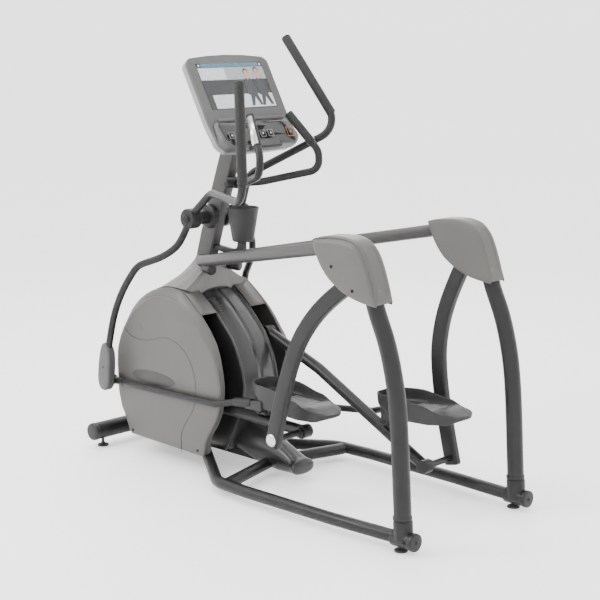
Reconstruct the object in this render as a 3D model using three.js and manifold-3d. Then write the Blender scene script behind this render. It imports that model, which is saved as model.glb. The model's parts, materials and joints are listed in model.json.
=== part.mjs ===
// Elliptical trainer with rear suspension links: welded base and towers, mast with console,
// crank and flywheel inside a disc-shaped housing, and two sets of pedals, rods and handles.
// Millimetres. +X is the user's right, +Y is the way the user faces, +Z is up.
// The origin is on the floor under the middle of the machine.

import * as THREE from 'three';
import { mergeVertices } from 'three/addons/utils/BufferGeometryUtils.js';
import { ConvexGeometry } from 'three/addons/geometries/ConvexGeometry.js';
import Module from 'manifold-3d';

const wasm = await Module();
wasm.setup();

// ---- driving dimensions ----

const GAP = 0.3;                       // gap between neighbouring pieces

// linkage, as (y, z) in the machine's frame
const CRANK_CENTRE = [503, 398];
const CRANK_RADIUS = 280;
const CRANK_REST = THREE.MathUtils.degToRad(-33);   // left crank pin, from straight ahead
const LINK_PIVOT = [-648, 952];
const LINK_LENGTH = 809;
const BAR_LENGTH = 955;                // foot bar, rear pin to crank pin
const TREAD_PIN = [235, 50];           // pedal pin on the foot bar, from its rear pin
const ROD_LENGTH = 827;                // pedal pin to handle elbow
const HANDLE_PIVOT = [434, 1042];
const ELBOW_RADIUS = 842;

// planes of the moving pieces, as distances from the middle
const BAR_X = 140;
const LINK_X = 306;
const LINK_HALF = 17;
const ROD_X = 239;
const ELBOW_X = 278;

// base
const FLOOR_TUBE_RADIUS = 24;
const FLOOR_TUBE_Z = 47;
const STABILIZER = { y: 913, z: 72, radius: 37, half: 288 };
const SPINE = { half: 30, bottom: 42, top: 92 };
const CASTING_REAR = -950;
const TOWER_X = 333;
const FOOT_RADIUS = 25;
const FRONT_FOOT_X = 252;
const REAR_FOOT_Y = -880;

// housing
const HOUSING = { y: 500, z: 407, radius: 343, rear: 283, front: 766, bottom: 72 };
const CENTRE_HALF = 100;
const SLOT_OUTER = 180;
const DISC_OUTER = 220;
const WALL = 4;

// mast, in side view: front and rear edges at floor end and at console end
const MAST_HALF = 25;
const MAST_SIDE = [[700, 92.5], [770, 92.5], [505, 973], [395, 1276], [309.5, 1500], [262, 1414.5], [310, 1281],
  [417, 973]];

// console, on a plane leaning back from its lower edge
const CONSOLE = { y: 175.7, z: 1357, lean: 29.1, half: 223, height: 394, depth: 46, foot: -30 };
const SCREEN = { half: 180, low: 158, high: 360 };
const KEYPAD = { half: 190, low: -14, high: 92, lift: 36, row: 27 };
const BUTTON_SIZE = 22;
const BUTTONS = { stop_button: 162, level_button: -164, start_button: 6, menu_button: 48 };

// drive inside the housing
const FLYWHEEL = { y: 365, z: 225, radius: 104, fromX: -59, toX: -27, pulley: 28 };
const BELT_X = [36, 54];
const DRIVE_PULLEY_RADIUS = 172;

const COLOURS = {
  cover: 0x6b6966, dark: 0x2b2a29, tube: 0x1f1f20, rail: 0x3a3a3a, rubber: 0x121212,
  console: 0x4a4a4a, glass: 0x15181b, steel: 0xb9bcc0, cast: 0x55585b, amber: 0xd9a021,
};

// ---- small tools ----

const V = (x, y, z) => new THREE.Vector3(x, y, z);
const ROUND = Math.PI * 2;

function material(colour, roughness = 0.5, metalness = 0) {
  return new THREE.MeshStandardMaterial({ color: COLOURS[colour], roughness, metalness });
}

const FINISH = {
  cover: material('cover', 0.45),
  dark: material('dark', 0.55),
  tube: material('tube', 0.4, 0.3),
  rail: material('rail', 0.35, 0.4),
  rubber: material('rubber', 0.85),
  console: material('console', 0.5),
  glass: material('glass', 0.08),
  steel: material('steel', 0.25, 1),
  cast: material('cast', 0.5, 0.8),
  amber: material('amber', 0.4),
};

// A run of straight steps through given stations, with the section mitred at each one.
class Route extends THREE.Curve {
  constructor(stations) {
    super();
    this.stations = stations;
  }

  getPoint(t, target = V(0, 0, 0)) {
    const last = this.stations.length - 1;
    const index = Math.min(Math.floor(t * last + 1e-9), last - 1);
    return target.lerpVectors(this.stations[index], this.stations[index + 1], t * last - index);
  }

  getPointAt(u, target) {
    return this.getPoint(u, target);
  }

  getTangentAt(u, target = V(0, 0, 0)) {
    const last = this.stations.length - 1;
    const index = Math.round(u * last);
    const before = this.stations[Math.max(index - 1, 0)];
    const here = this.stations[index];
    const after = this.stations[Math.min(index + 1, last)];
    const arriving = here.clone().sub(before).normalize();
    const leaving = after.clone().sub(here).normalize();
    return target.copy(arriving.add(leaving).normalize());
  }
}

// Stations along straight runs whose corners are rounded to the given radius.
function bent(points, radius, steps = 3) {
  const stations = [points[0]];
  for (let i = 1; i < points.length - 1; i += 1) {
    const into = points[i - 1].clone().sub(points[i]);
    const out = points[i + 1].clone().sub(points[i]);
    const reach = Math.min(radius, into.length() * 0.45, out.length() * 0.45);
    const start = points[i].clone().addScaledVector(into.normalize(), reach);
    const end = points[i].clone().addScaledVector(out.normalize(), reach);
    const corner = new THREE.QuadraticBezierCurve3(start, points[i], end);
    stations.push(...corner.getPoints(steps));
  }
  stations.push(points[points.length - 1]);
  return stations;
}

function smooth(points, steps) {
  return new THREE.CatmullRomCurve3(points, false, 'centripetal').getSpacedPoints(steps);
}

function sweep(section, stations, curveSegments = 6) {
  const steps = stations.length - 1;
  return new THREE.ExtrudeGeometry(section, {
    steps, curveSegments, bevelEnabled: false, extrudePath: new Route(stations),
  });
}

function disc(radius) {
  const shape = new THREE.Shape();
  shape.absarc(0, 0, radius, 0, ROUND, false);
  return shape;
}

function rod(stations, radius, curveSegments = 6) {
  return sweep(disc(radius), stations, curveSegments);
}

function pipe(stations, radius, wall, curveSegments = 6) {
  const section = disc(radius);
  section.holes.push(disc(radius - wall));
  return sweep(section, stations, curveSegments);
}

// Extrusions of a flat outline: in side view (y, z) across x, in plan (x, y) up z,
// and in front view (x, z) along y.
function outline(points) {
  return new THREE.Shape(points.map(([u, v]) => new THREE.Vector2(u, v)));
}

function extrude(shape, depth, curveSegments) {
  return new THREE.ExtrudeGeometry(shape, { depth, curveSegments, bevelEnabled: false });
}

function across(shape, fromX, toX, curveSegments = 8) {
  const sideView = new THREE.Matrix4().makeBasis(V(0, 1, 0), V(0, 0, 1), V(1, 0, 0));
  const low = Math.min(fromX, toX);
  return extrude(shape, Math.abs(toX - fromX), curveSegments).applyMatrix4(sideView).translate(low, 0, 0);
}

function upward(shape, fromZ, toZ, curveSegments = 6) {
  return extrude(shape, toZ - fromZ, curveSegments).translate(0, 0, fromZ);
}

function box(fromX, toX, fromY, toY, fromZ, toZ) {
  const geometry = new THREE.BoxGeometry(Math.abs(toX - fromX), toY - fromY, toZ - fromZ);
  return geometry.translate((fromX + toX) / 2, (fromY + toY) / 2, (fromZ + toZ) / 2);
}

// A round bar across the machine.
function axle(fromX, toX, y, z, radius, sides = 20) {
  const geometry = new THREE.CylinderGeometry(radius, radius, Math.abs(toX - fromX), sides);
  return geometry.rotateZ(Math.PI / 2).translate((fromX + toX) / 2, y, z);
}

function lathe(profile, sides = 20) {
  const points = profile.map(([r, z]) => new THREE.Vector2(r, z));
  return new THREE.LatheGeometry(points, sides).rotateX(Math.PI / 2);
}

function solid(geometry) {
  const bare = geometry.clone();
  bare.deleteAttribute('normal');
  bare.deleteAttribute('uv');
  const welded = mergeVertices(bare.index ? bare.toNonIndexed() : bare, 1e-3);
  return new wasm.Manifold(new wasm.Mesh({
    numProp: 3,
    vertProperties: new Float32Array(welded.attributes.position.array),
    triVerts: new Uint32Array(welded.index.array),
  }));
}

function fromSolid(body) {
  const mesh = body.getMesh();
  const geometry = new THREE.BufferGeometry();
  geometry.setAttribute('position', new THREE.BufferAttribute(new Float32Array(mesh.vertProperties), 3));
  geometry.setIndex(new THREE.BufferAttribute(new Uint32Array(mesh.triVerts), 1));
  return geometry;
}

function join(...geometries) {
  return fromSolid(geometries.map(solid).reduce((whole, next) => whole.add(next)));
}

function cut(geometry, ...tools) {
  return fromSolid(tools.map(solid).reduce((left, tool) => left.subtract(tool), solid(geometry)));
}

function common(first, second) {
  return fromSolid(solid(first).intersect(solid(second)));
}

const machine = new THREE.Group();

function add(parent, name, geometry, finish) {
  const mesh = new THREE.Mesh(geometry, FINISH[finish]);
  mesh.name = name;
  parent.add(mesh);
  return mesh;
}

// ---- linkage: where the pins are for a given crank angle ----

// The point at the given distances from two centres, on the left of the line between them.
function meet([ay, az], fromA, [by, bz], fromB) {
  const gap = Math.hypot(by - ay, bz - az);
  const along = (fromA ** 2 - fromB ** 2 + gap ** 2) / (2 * gap);
  const aside = Math.sqrt(fromA ** 2 - along ** 2);
  const [uy, uz] = [(by - ay) / gap, (bz - az) / gap];
  return [ay + uy * along - uz * aside, az + uz * along + uy * aside];
}

function pose(crankAngle) {
  const crankPin = [
    CRANK_CENTRE[0] + CRANK_RADIUS * Math.cos(crankAngle),
    CRANK_CENTRE[1] + CRANK_RADIUS * Math.sin(crankAngle),
  ];
  const meetings = [meet(LINK_PIVOT, LINK_LENGTH, crankPin, BAR_LENGTH), meet(crankPin, BAR_LENGTH, LINK_PIVOT, LINK_LENGTH)];
  const pin = meetings[0][1] < meetings[1][1] ? meetings[0] : meetings[1];
  const pitch = Math.atan2(crankPin[1] - pin[1], crankPin[0] - pin[0]);
  const treadPin = [
    pin[0] + TREAD_PIN[0] * Math.cos(pitch) - TREAD_PIN[1] * Math.sin(pitch),
    pin[1] + TREAD_PIN[0] * Math.sin(pitch) + TREAD_PIN[1] * Math.cos(pitch),
  ];
  const elbow = meet(HANDLE_PIVOT, ELBOW_RADIUS, treadPin, ROD_LENGTH);
  return {
    crankPin,
    pin,
    treadPin,
    elbow,
    link: Math.atan2(pin[0] - LINK_PIVOT[0], LINK_PIVOT[1] - pin[1]),
    bar: pitch,
    tread: Math.atan2(elbow[1] - treadPin[1], elbow[0] - treadPin[0]),
    handle: Math.atan2(elbow[0] - HANDLE_PIVOT[0], HANDLE_PIVOT[1] - elbow[1]),
  };
}

const LEFT_POSE = pose(CRANK_REST);
const RIGHT_POSE = pose(CRANK_REST + Math.PI);
const SIDES = [
  { side: -1, name: 'left', at: LEFT_POSE },
  { side: 1, name: 'right', at: RIGHT_POSE },
];

// A group whose origin is a pin and whose y axis is turned up from straight ahead.
function pivot(parent, name, [y, z], angle) {
  const group = new THREE.Group();
  group.name = name;
  group.position.set(0, y, z);
  group.rotation.x = angle;
  parent.add(group);
  return group;
}

// ---- base frame ----

function floorTubeStations(side) {
  return bent([
    V(side * TOWER_X, -845.5, FLOOR_TUBE_Z),
    V(side * 350, -560, FLOOR_TUBE_Z),
    V(side * 358, -120, FLOOR_TUBE_Z),
    V(side * 350, 60, FLOOR_TUBE_Z),
    V(side * 51, 470, FLOOR_TUBE_Z),
  ], 110, 2);
}

function crossTubeStations() {
  return bent([V(-315, -9, FLOOR_TUBE_Z), V(0, 100, FLOOR_TUBE_Z), V(315, -9, FLOOR_TUBE_Z)], 60, 2);
}

function spine() {
  const beam = box(-SPINE.half, SPINE.half, 128, STABILIZER.y - STABILIZER.radius - GAP, SPINE.bottom, SPINE.top);
  const bore = box(-SPINE.half + 4, SPINE.half - 4, 120, 900, SPINE.bottom + 4, SPINE.top - 4);
  const cheek = [[320, 85], [412, 85], [384, 245], [346, 245]];
  const upright = across(outline(cheek), -74, -62);
  const foot = box(-74, -16, 322, 410, 80, 88);
  const pin = axle(-72, 60, FLYWHEEL.y, FLYWHEEL.z, 8, 16);
  return join(cut(beam, bore), foot, upright, pin);
}

function buildBase() {
  const tube = axle(-STABILIZER.half, STABILIZER.half, STABILIZER.y, STABILIZER.z, STABILIZER.radius, 20);
  const bore = axle(-300, 300, STABILIZER.y, STABILIZER.z, STABILIZER.radius - 3, 20);
  add(machine, 'front_stabilizer', cut(tube, bore), 'tube');
  add(machine, 'main_spine', spine(), 'tube');
  add(machine, 'cross_tube', pipe(crossTubeStations(), FLOOR_TUBE_RADIUS, 3), 'tube');
  for (const { side, name } of SIDES) {
    const from = side * (STABILIZER.half + GAP);
    const cap = join(
      axle(from, side * 304, STABILIZER.y, STABILIZER.z, STABILIZER.radius, 20),
      axle(side * 304, side * 316, STABILIZER.y, STABILIZER.z, STABILIZER.radius - 5, 20),
    );
    add(machine, `stabilizer_cap_${name}`, cap, 'dark');
    add(machine, `floor_tube_${name}`, pipe(floorTubeStations(side), FLOOR_TUBE_RADIUS, 3), 'tube');
    add(machine, `tower_joint_${name}`, towerJoint(side), 'tube');
    const frontFoot = levellingFoot(STABILIZER.z - STABILIZER.radius - GAP);
    frontFoot.translate(side * FRONT_FOOT_X, STABILIZER.y, 0);
    add(machine, `front_foot_${name}`, frontFoot, 'rubber');
    const rearFoot = levellingFoot(FLOOR_TUBE_Z - 32 - GAP);
    rearFoot.translate(side * TOWER_X, REAR_FOOT_Y, 0);
    add(machine, `rear_foot_${name}`, rearFoot, 'rubber');
  }
}

function levellingFoot(top) {
  return lathe([[0, 0], [FOOT_RADIUS, 0], [FOOT_RADIUS, 6], [14, 9.5], [7, 9.5], [7, top], [0, top]], 18);
}

// Sleeve over the rear end of the floor tube, with a short upright socket for the tower post.
function towerJoint(side) {
  const sleeve = rod([V(side * TOWER_X, CASTING_REAR, FLOOR_TUBE_Z), V(side * TOWER_X, -848, FLOOR_TUBE_Z)], 32, 8);
  const socket = rod([V(side * TOWER_X, -892, FLOOR_TUBE_Z), V(side * TOWER_X, -887, 116)], 35, 8);
  return join(sleeve, socket);
}

// ---- towers ----

const POST_RADIUS = 32;
const POST_SIDE = [[-887, 117], [-879, 230], [-868, 400], [-851, 560], [-820, 690], [-793, 770], [-757, 868], [-728, 968],
  [-678, 1032], [-600, 1056], [-500, 1046]];

function towerPost(side) {
  const stations = smooth(POST_SIDE.map(([y, z]) => V(side * TOWER_X, y, z)), 10);
  const post = pipe(stations, POST_RADIUS, 3, 6);
  const plate = outline([[-690, 1026], [-590, 1030], [-618, 930], [-648, 918], [-678, 930]]);
  const hanger = across(plate, side * 329, side * 337);
  const pin = axle(side * 286, side * 352, LINK_PIVOT[0], LINK_PIVOT[1], 12, 24);
  const bore = rod(stations, POST_RADIUS - 3, 6);
  return join(post, cut(hanger, bore), pin);
}

function sideRail(side) {
  return pipe([V(side * 52, 470, 850), V(side * TOWER_X, -486, 1040)], 25, 2.5, 7);
}

const COVER_SIDE = [[-436, 1078], [-452, 1012], [-486, 955], [-530, 915], [-600, 882], [-700, 858], [-826, 866],
  [-812, 948], [-784, 1026], [-745, 1078], [-690, 1104], [-600, 1106], [-515, 1092]];
const COVER_HALF = 47.5;

// Two moulded walls and a roof round the tower's head, open underneath and at the front.
function towerCover(side) {
  const middle = side * (TOWER_X - 5.5);
  const shell = across(outline(COVER_SIDE), middle - COVER_HALF, middle + COVER_HALF);
  const inside = [[-420, 1072], [-420, 780], [-900, 780], [-815, 862], [-806, 946], [-779, 1021], [-741, 1073],
    [-688, 1098], [-600, 1100], [-515, 1086]];
  const hollow = across(outline(inside), middle - COVER_HALF + WALL, middle + COVER_HALF - WALL);
  return cut(shell, hollow);
}

function buildTowers() {
  for (const { side, name } of SIDES) {
    add(machine, `tower_post_${name}`, towerPost(side), 'tube');
    add(machine, `side_rail_${name}`, sideRail(side), 'rail');
    add(machine, `tower_cover_${name}`, towerCover(side), 'cover');
  }
}

// ---- housing ----

function housingShape(inset, bottom = HOUSING.bottom) {
  const radius = HOUSING.radius - inset;
  const rear = HOUSING.rear + inset;
  const rearAngle = Math.PI + Math.acos((HOUSING.y - rear) / radius);
  const shape = new THREE.Shape();
  shape.moveTo(HOUSING.front - inset, bottom);
  shape.lineTo(HOUSING.y + radius * 0.98, HOUSING.z - 170);
  shape.absarc(HOUSING.y, HOUSING.z, radius, 0, rearAngle, false);
  shape.lineTo(rear, bottom);
  return shape;
}

function mastBlock(grow) {
  const points = MAST_SIDE.map(([y, z]) => [y, z]);
  const half = MAST_HALF + grow;
  const middle = points.length / 2 - 0.5;
  const grown = points.map(([y, z], i) => [y + (i > 0 && i < middle + 1 ? grow : -grow), z]);
  return across(outline(grow > 0 ? grown : points), -half, half);
}

function centreShell(side) {
  const shell = across(housingShape(0), side * GAP, side * CENTRE_HALF, 14);
  const hollow = across(housingShape(WALL, 40), side * -5, side * (CENTRE_HALF - WALL), 14);
  const shaftHole = axle(side * 80, side * 120, CRANK_CENTRE[0], CRANK_CENTRE[1], 17, 16);
  const spineSlot = box(-SPINE.half - 1, SPINE.half + 1, 270, 300, 60, SPINE.top + 1);
  return cut(shell, hollow, shaftHole, spineSlot, mastBlock(1.5));
}

// The strip that joins the centre body to the disc, left open at the rear for the foot bar.
function podBand(side) {
  const inner = side * (CENTRE_HALF + GAP);
  const outer = side * (SLOT_OUTER - GAP);
  const strip = across(housingShape(2), inner, outer, 14);
  const hollow = across(housingShape(2 + WALL), side * 90, side * 190, 14);
  const slot = across(outline([[420, 640], [0, 640], [0, 40], [420, 40]]), side * 90, side * 190);
  return cut(strip, hollow, slot);
}

function sideDisc(side) {
  const rimInset = 12;
  const step = 12;
  const rim = across(housingShape(0), side * (SLOT_OUTER), side * (DISC_OUTER - step), 14);
  const face = across(housingShape(rimInset), side * (DISC_OUTER - step - 1), side * DISC_OUTER, 14);
  const hollow = across(housingShape(rimInset + WALL), side * (SLOT_OUTER - 5), side * (DISC_OUTER - WALL), 14);
  return cut(join(rim, face), hollow);
}

function tailBoot() {
  const side = outline([[281, 60], [281, 138], [236, 186], [190, 188], [110, 172], [20, 138], [-60, 100], [-80, 78],
    [-62, 56], [10, 26], [110, 18], [281, 18]]);
  const shell = across(side, -52, 52);
  const beam = box(-SPINE.half - 1, SPINE.half + 1, 100, 400, SPINE.bottom - 1, SPINE.top + 1);
  const tube = rod(crossTubeStations(), FLOOR_TUBE_RADIUS + 1);
  return cut(shell, beam, tube);
}

function mastShroud() {
  const corners = [
    [34, 432, 868], [34, 520, 868], [98, 436, 700], [98, 700, 600], [96, 800, 585], [98, 436, 600], [60, 640, 800],
  ];
  const points = corners.flatMap(([x, y, z]) => [V(x, y, z), V(-x, y, z)]);
  const drum = across(housingShape(-0.8), -130, 130, 14);
  return cut(new ConvexGeometry(points), drum, mastBlock(1.5), railClearance());
}

function railClearance() {
  return join(
    rod([V(-52 * 0.7, 521, 840), V(-TOWER_X, -486, 1040)], 27, 7),
    rod([V(52 * 0.7, 521, 840), V(TOWER_X, -486, 1040)], 27, 7),
    box(-34, 34, 380, 425, 850, 860),
  );
}

function buildHousing() {
  for (const { side, name } of SIDES) {
    add(machine, `centre_housing_${name}`, centreShell(side), 'dark');
    add(machine, `pod_band_${name}`, podBand(side), 'dark');
    add(machine, `side_disc_${name}`, sideDisc(side), 'cover');
  }
  add(machine, 'tail_boot', tailBoot(), 'dark');
  add(machine, 'mast_shroud', mastShroud(), 'cover');
}

// ---- mast, bars and console ----

function mast() {
  const column = mastBlock(0);
  const tongue = across(outline([[478, 372], [650, 372], [640, 424], [478, 424]]), -24, 24);
  const bore = axle(-40, 40, CRANK_CENTRE[0], CRANK_CENTRE[1], 17, 20);
  const axleHole = axle(-60, 60, HANDLE_PIVOT[0], HANDLE_PIVOT[1], 16.5, 20);
  return cut(join(column, tongue), bore, axleHole);
}

const BAR_POINTS = [[107, 114, 1474], [164, 0, 1327], [167, 1, 1251], [53, 213, 1196]];
const STATIC_BAR_RADIUS = 15;

function staticHandlebar() {
  const left = BAR_POINTS.map(([x, y, z]) => V(-x, y, z));
  const right = BAR_POINTS.map(([x, y, z]) => V(x, y, z)).reverse();
  const stations = bent([...left, V(-20, 268, 1190), V(20, 268, 1190), ...right], 60, 2);
  const stub = axle(-78, 78, 290, 1190, 16, 14);
  const clamp = box(-24, 24, 280, 344, 1170, 1210);
  return join(rod(stations, STATIC_BAR_RADIUS, 5), stub, cut(clamp, mastBlock(0.5)));
}

// A curved steel plate lying on the outer side of each fixed grip.
function pulsePlate(side) {
  const [end, corner] = BAR_POINTS.map(([x, y, z]) => V(side * x, y, z));
  const top = end.clone().lerp(corner, 0.08);
  const low = end.clone().lerp(corner, 0.74);
  const sleeve = pipe([top, low], STATIC_BAR_RADIUS + 3.2, 2.2, 8);
  const outward = V(side, 0.35, 0).normalize();
  const aside = corner.clone().sub(end).normalize().cross(outward).normalize();
  const reach = 2 * STATIC_BAR_RADIUS;
  const points = [end, corner].flatMap((place) => [-reach, reach].flatMap((step) =>
    [1, reach].map((out) => place.clone().addScaledVector(aside, step).addScaledVector(outward, out))));
  return common(sleeve, new ConvexGeometry(points));
}

function handleAxle() {
  return cut(axle(-166, 166, HANDLE_PIVOT[0], HANDLE_PIVOT[1], 16, 20),
    axle(-180, 180, HANDLE_PIVOT[0], HANDLE_PIVOT[1], 11, 12));
}

const CUP = { y: 272, low: 950, high: 1092, topRadius: 66, lowRadius: 44 };

function cupHolder() {
  const { low, high, topRadius, lowRadius } = CUP;
  const cup = lathe([[0, low], [lowRadius, low], [topRadius, high], [topRadius - 4, high], [lowRadius - 4, low + 5],
    [0, low + 5]], 24);
  cup.translate(0, CUP.y, 0);
  const stem = across(outline([[262, 952], [262, 905], [290, 888], [330, 888], [452, 900], [446, 922], [330, 912],
    [300, 920], [292, 952]]), -12, 12);
  return cut(join(cup, stem), mastBlock(0.5));
}

function buildMast() {
  add(machine, 'mast', mast(), 'rail');
  add(machine, 'handle_axle', handleAxle(), 'steel');
  add(machine, 'static_handlebar', staticHandlebar(), 'tube');
  add(machine, 'cup_holder', cupHolder(), 'dark');
  for (const { side, name } of SIDES) {
    add(machine, `pulse_plate_${name}`, pulsePlate(side), 'steel');
  }
}

function consoleShape() {
  const { half, height, foot } = CONSOLE;
  return outline([[-182, foot], [182, foot], [212, 4], [half, 110], [half, height - 22], [half - 22, height],
    [-half + 22, height], [-half, height - 22], [-half, 110], [-212, 4]]);
}

function buildConsole() {
  const panel = new THREE.Group();
  panel.name = 'console_plane';
  panel.position.set(0, CONSOLE.y, CONSOLE.z);
  panel.rotation.x = THREE.MathUtils.degToRad(90 - CONSOLE.lean);
  machine.add(panel);

  const screenRecess = box(-SCREEN.half - 1, SCREEN.half + 1, SCREEN.low - 1, SCREEN.high + 1, -5, 5);
  const padRecess = box(-KEYPAD.half - 1, KEYPAD.half + 1, KEYPAD.low - 1, KEYPAD.high + 1, -5, 5);
  const socket = box(-34, 34, 40, 190, -CONSOLE.depth - 5, -CONSOLE.depth + 4);
  const housing = cut(upward(consoleShape(), -CONSOLE.depth, 0), screenRecess, padRecess, socket);
  add(panel, 'console_housing', housing, 'console');
  const screen = box(-SCREEN.half, SCREEN.half, SCREEN.low, SCREEN.high, -4.7, -0.8);
  add(panel, 'console_screen', screen, 'glass');

  const pad = box(-KEYPAD.half, KEYPAD.half, KEYPAD.low, KEYPAD.high, -4.7, KEYPAD.lift);
  const reach = BUTTON_SIZE / 2 + 0.6;
  const pockets = Object.values(BUTTONS).map((x) =>
    box(x - reach, x + reach, KEYPAD.row - reach, KEYPAD.row + reach, KEYPAD.lift - 6, KEYPAD.lift + 5));
  add(panel, 'console_keypad', cut(pad, ...pockets), 'dark');
  for (const [name, x] of Object.entries(BUTTONS)) {
    const half = BUTTON_SIZE / 2;
    const key = box(x - half, x + half, KEYPAD.row - half, KEYPAD.row + half, KEYPAD.lift - 3, KEYPAD.lift + 2);
    add(panel, name, key, name === 'stop_button' ? 'amber' : 'console');
  }
}

// ---- drive ----

function crank() {
  const arms = SIDES.map(({ side, at }) => {
    const direction = V(0, at.crankPin[0] - CRANK_CENTRE[0], at.crankPin[1] - CRANK_CENTRE[1]).normalize();
    const turn = Math.atan2(direction.z, direction.y);
    const arm = new THREE.Shape();
    arm.moveTo(0, -24);
    arm.lineTo(CRANK_RADIUS, -16);
    arm.absarc(CRANK_RADIUS, 0, 16, -Math.PI / 2, Math.PI / 2, false);
    arm.lineTo(0, 24);
    arm.absarc(0, 0, 24, Math.PI / 2, Math.PI * 1.5, false);
    const plate = across(arm, side * 102, side * 111);
    plate.rotateX(turn).translate(0, CRANK_CENTRE[0], CRANK_CENTRE[1]);
    const pin = axle(side * 110, side * 115, at.crankPin[0], at.crankPin[1], 12, 16);
    return join(plate, pin);
  });
  const shaft = axle(-108, 108, CRANK_CENTRE[0], CRANK_CENTRE[1], 12.5, 20);
  return join(shaft, ...arms);
}

function wheel(radius, fromX, toX, bore, y, z, sides) {
  return cut(axle(fromX, toX, y, z, radius, sides), axle(fromX - 5, toX + 5, y, z, bore, 20));
}

function belt() {
  const [cy, cz] = CRANK_CENTRE;
  const away = Math.atan2(FLYWHEEL.z - cz, FLYWHEEL.y - cy);
  const spacing = Math.hypot(FLYWHEEL.y - cy, FLYWHEEL.z - cz);
  const loop = (grow) => {
    const big = DRIVE_PULLEY_RADIUS + grow;
    const small = FLYWHEEL.pulley + grow;
    const lean = Math.acos((big - small) / spacing);
    const shape = new THREE.Shape();
    shape.absarc(cy, cz, big, away + lean, away - lean + ROUND, false);
    shape.absarc(FLYWHEEL.y, FLYWHEEL.z, small, away - lean, away + lean, false);
    return shape;
  };
  return cut(across(loop(4.5), BELT_X[0] + 1, BELT_X[1] - 1, 12), across(loop(1.8), 0, 90, 12));
}

function buildDrive() {
  const [cy, cz] = CRANK_CENTRE;
  add(machine, 'crank', crank(), 'cast');
  const pulley = wheel(DRIVE_PULLEY_RADIUS, BELT_X[0], BELT_X[1], 12.9, cy, cz, 32);
  add(machine, 'drive_pulley', pulley, 'dark');
  const rim = axle(FLYWHEEL.fromX, FLYWHEEL.toX, FLYWHEEL.y, FLYWHEEL.z, FLYWHEEL.radius, 32);
  const hub = axle(FLYWHEEL.toX - 1, BELT_X[0] + 1, FLYWHEEL.y, FLYWHEEL.z, 18, 20);
  const beltPulley = axle(BELT_X[0], BELT_X[1], FLYWHEEL.y, FLYWHEEL.z, FLYWHEEL.pulley, 24);
  const bore = axle(-80, 80, FLYWHEEL.y, FLYWHEEL.z, 8.6, 16);
  add(machine, 'flywheel', cut(join(rim, hub, beltPulley), bore), 'cast');
  add(machine, 'drive_belt', belt(), 'rubber');
}

// ---- moving side: link, foot bar, pedal, rod and handle ----

const LINK_CURVE = [[0, 0], [46, -110], [88, -240], [103, -390], [78, -545], [38, -690], [0, -LINK_LENGTH]];

function suspensionLink(side) {
  const section = new THREE.Shape();
  section.absellipse(0, 0, LINK_HALF - 0.1, 32, 0, ROUND, false);
  const stations = smooth(LINK_CURVE.map(([y, z]) => V(side * LINK_X, y, z)), 9);
  const blade = sweep(section, stations, 5);
  const inner = side * (LINK_X - LINK_HALF);
  const outer = side * (LINK_X + LINK_HALF);
  const eyes = [0, -LINK_LENGTH].map((z) => axle(inner, outer, 0, z, 33, 20));
  const bores = [0, -LINK_LENGTH].map((z) => axle(side * 270, side * 340, 0, z, 13.6, 20));
  return cut(join(blade, ...eyes), ...bores);
}

function linkPin(side) {
  const outer = LINK_X + LINK_HALF + GAP;
  return join(
    axle(side * 118, side * (outer + 1), 0, -LINK_LENGTH, 13, 20),
    axle(side * 165, side * 175, 0, -LINK_LENGTH, 22, 16),
    axle(side * outer, side * (outer + 7), 0, -LINK_LENGTH, 24, 20),
  );
}

function footBar(side) {
  const x = side * BAR_X;
  const tube = rod(bent([V(x, 0, 0), V(x, 640, 24), V(x, BAR_LENGTH, 0)], 50), 23);
  const sleeve = axle(side * 116.5, side * 163.5, 0, 0, 26, 20);
  const eye = axle(side * 117, side * 163, BAR_LENGTH, 0, 26, 20);
  const [py, pz] = TREAD_PIN;
  const lug = across(outline([[py - 34, 4], [py + 34, 6], [py + 13, pz + 11], [py - 13, pz + 11]]),
    side * 131, side * 149);
  const pin = axle(side * 111, side * 169, py, pz, 8, 16);
  const bores = [axle(side * 100, side * 180, 0, 0, 13.6, 24), axle(side * 100, side * 180, BAR_LENGTH, 0, 13.5, 20)];
  return cut(join(tube, sleeve, eye, lug, pin), ...bores);
}

const PEDAL = { length: 414, half: 85, front: 20, low: 36, floor: 76, rim: 126, heel: 100, tilt: 3.3 };

function pedalPlan(inset) {
  const { half, front, length } = PEDAL;
  const w = half - inset;
  const top = front - inset;
  const end = front - length + inset;
  const shape = new THREE.Shape();
  shape.moveTo(-w + 8, end + 40);
  shape.quadraticCurveTo(-w * 0.62, end, 0, end);
  shape.quadraticCurveTo(w * 0.62, end, w - 8, end + 40);
  shape.lineTo(w, top - 110);
  shape.quadraticCurveTo(w, top, w * 0.42, top);
  shape.lineTo(-w * 0.42, top);
  shape.quadraticCurveTo(-w, top, -w, top - 110);
  return shape;
}

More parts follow.
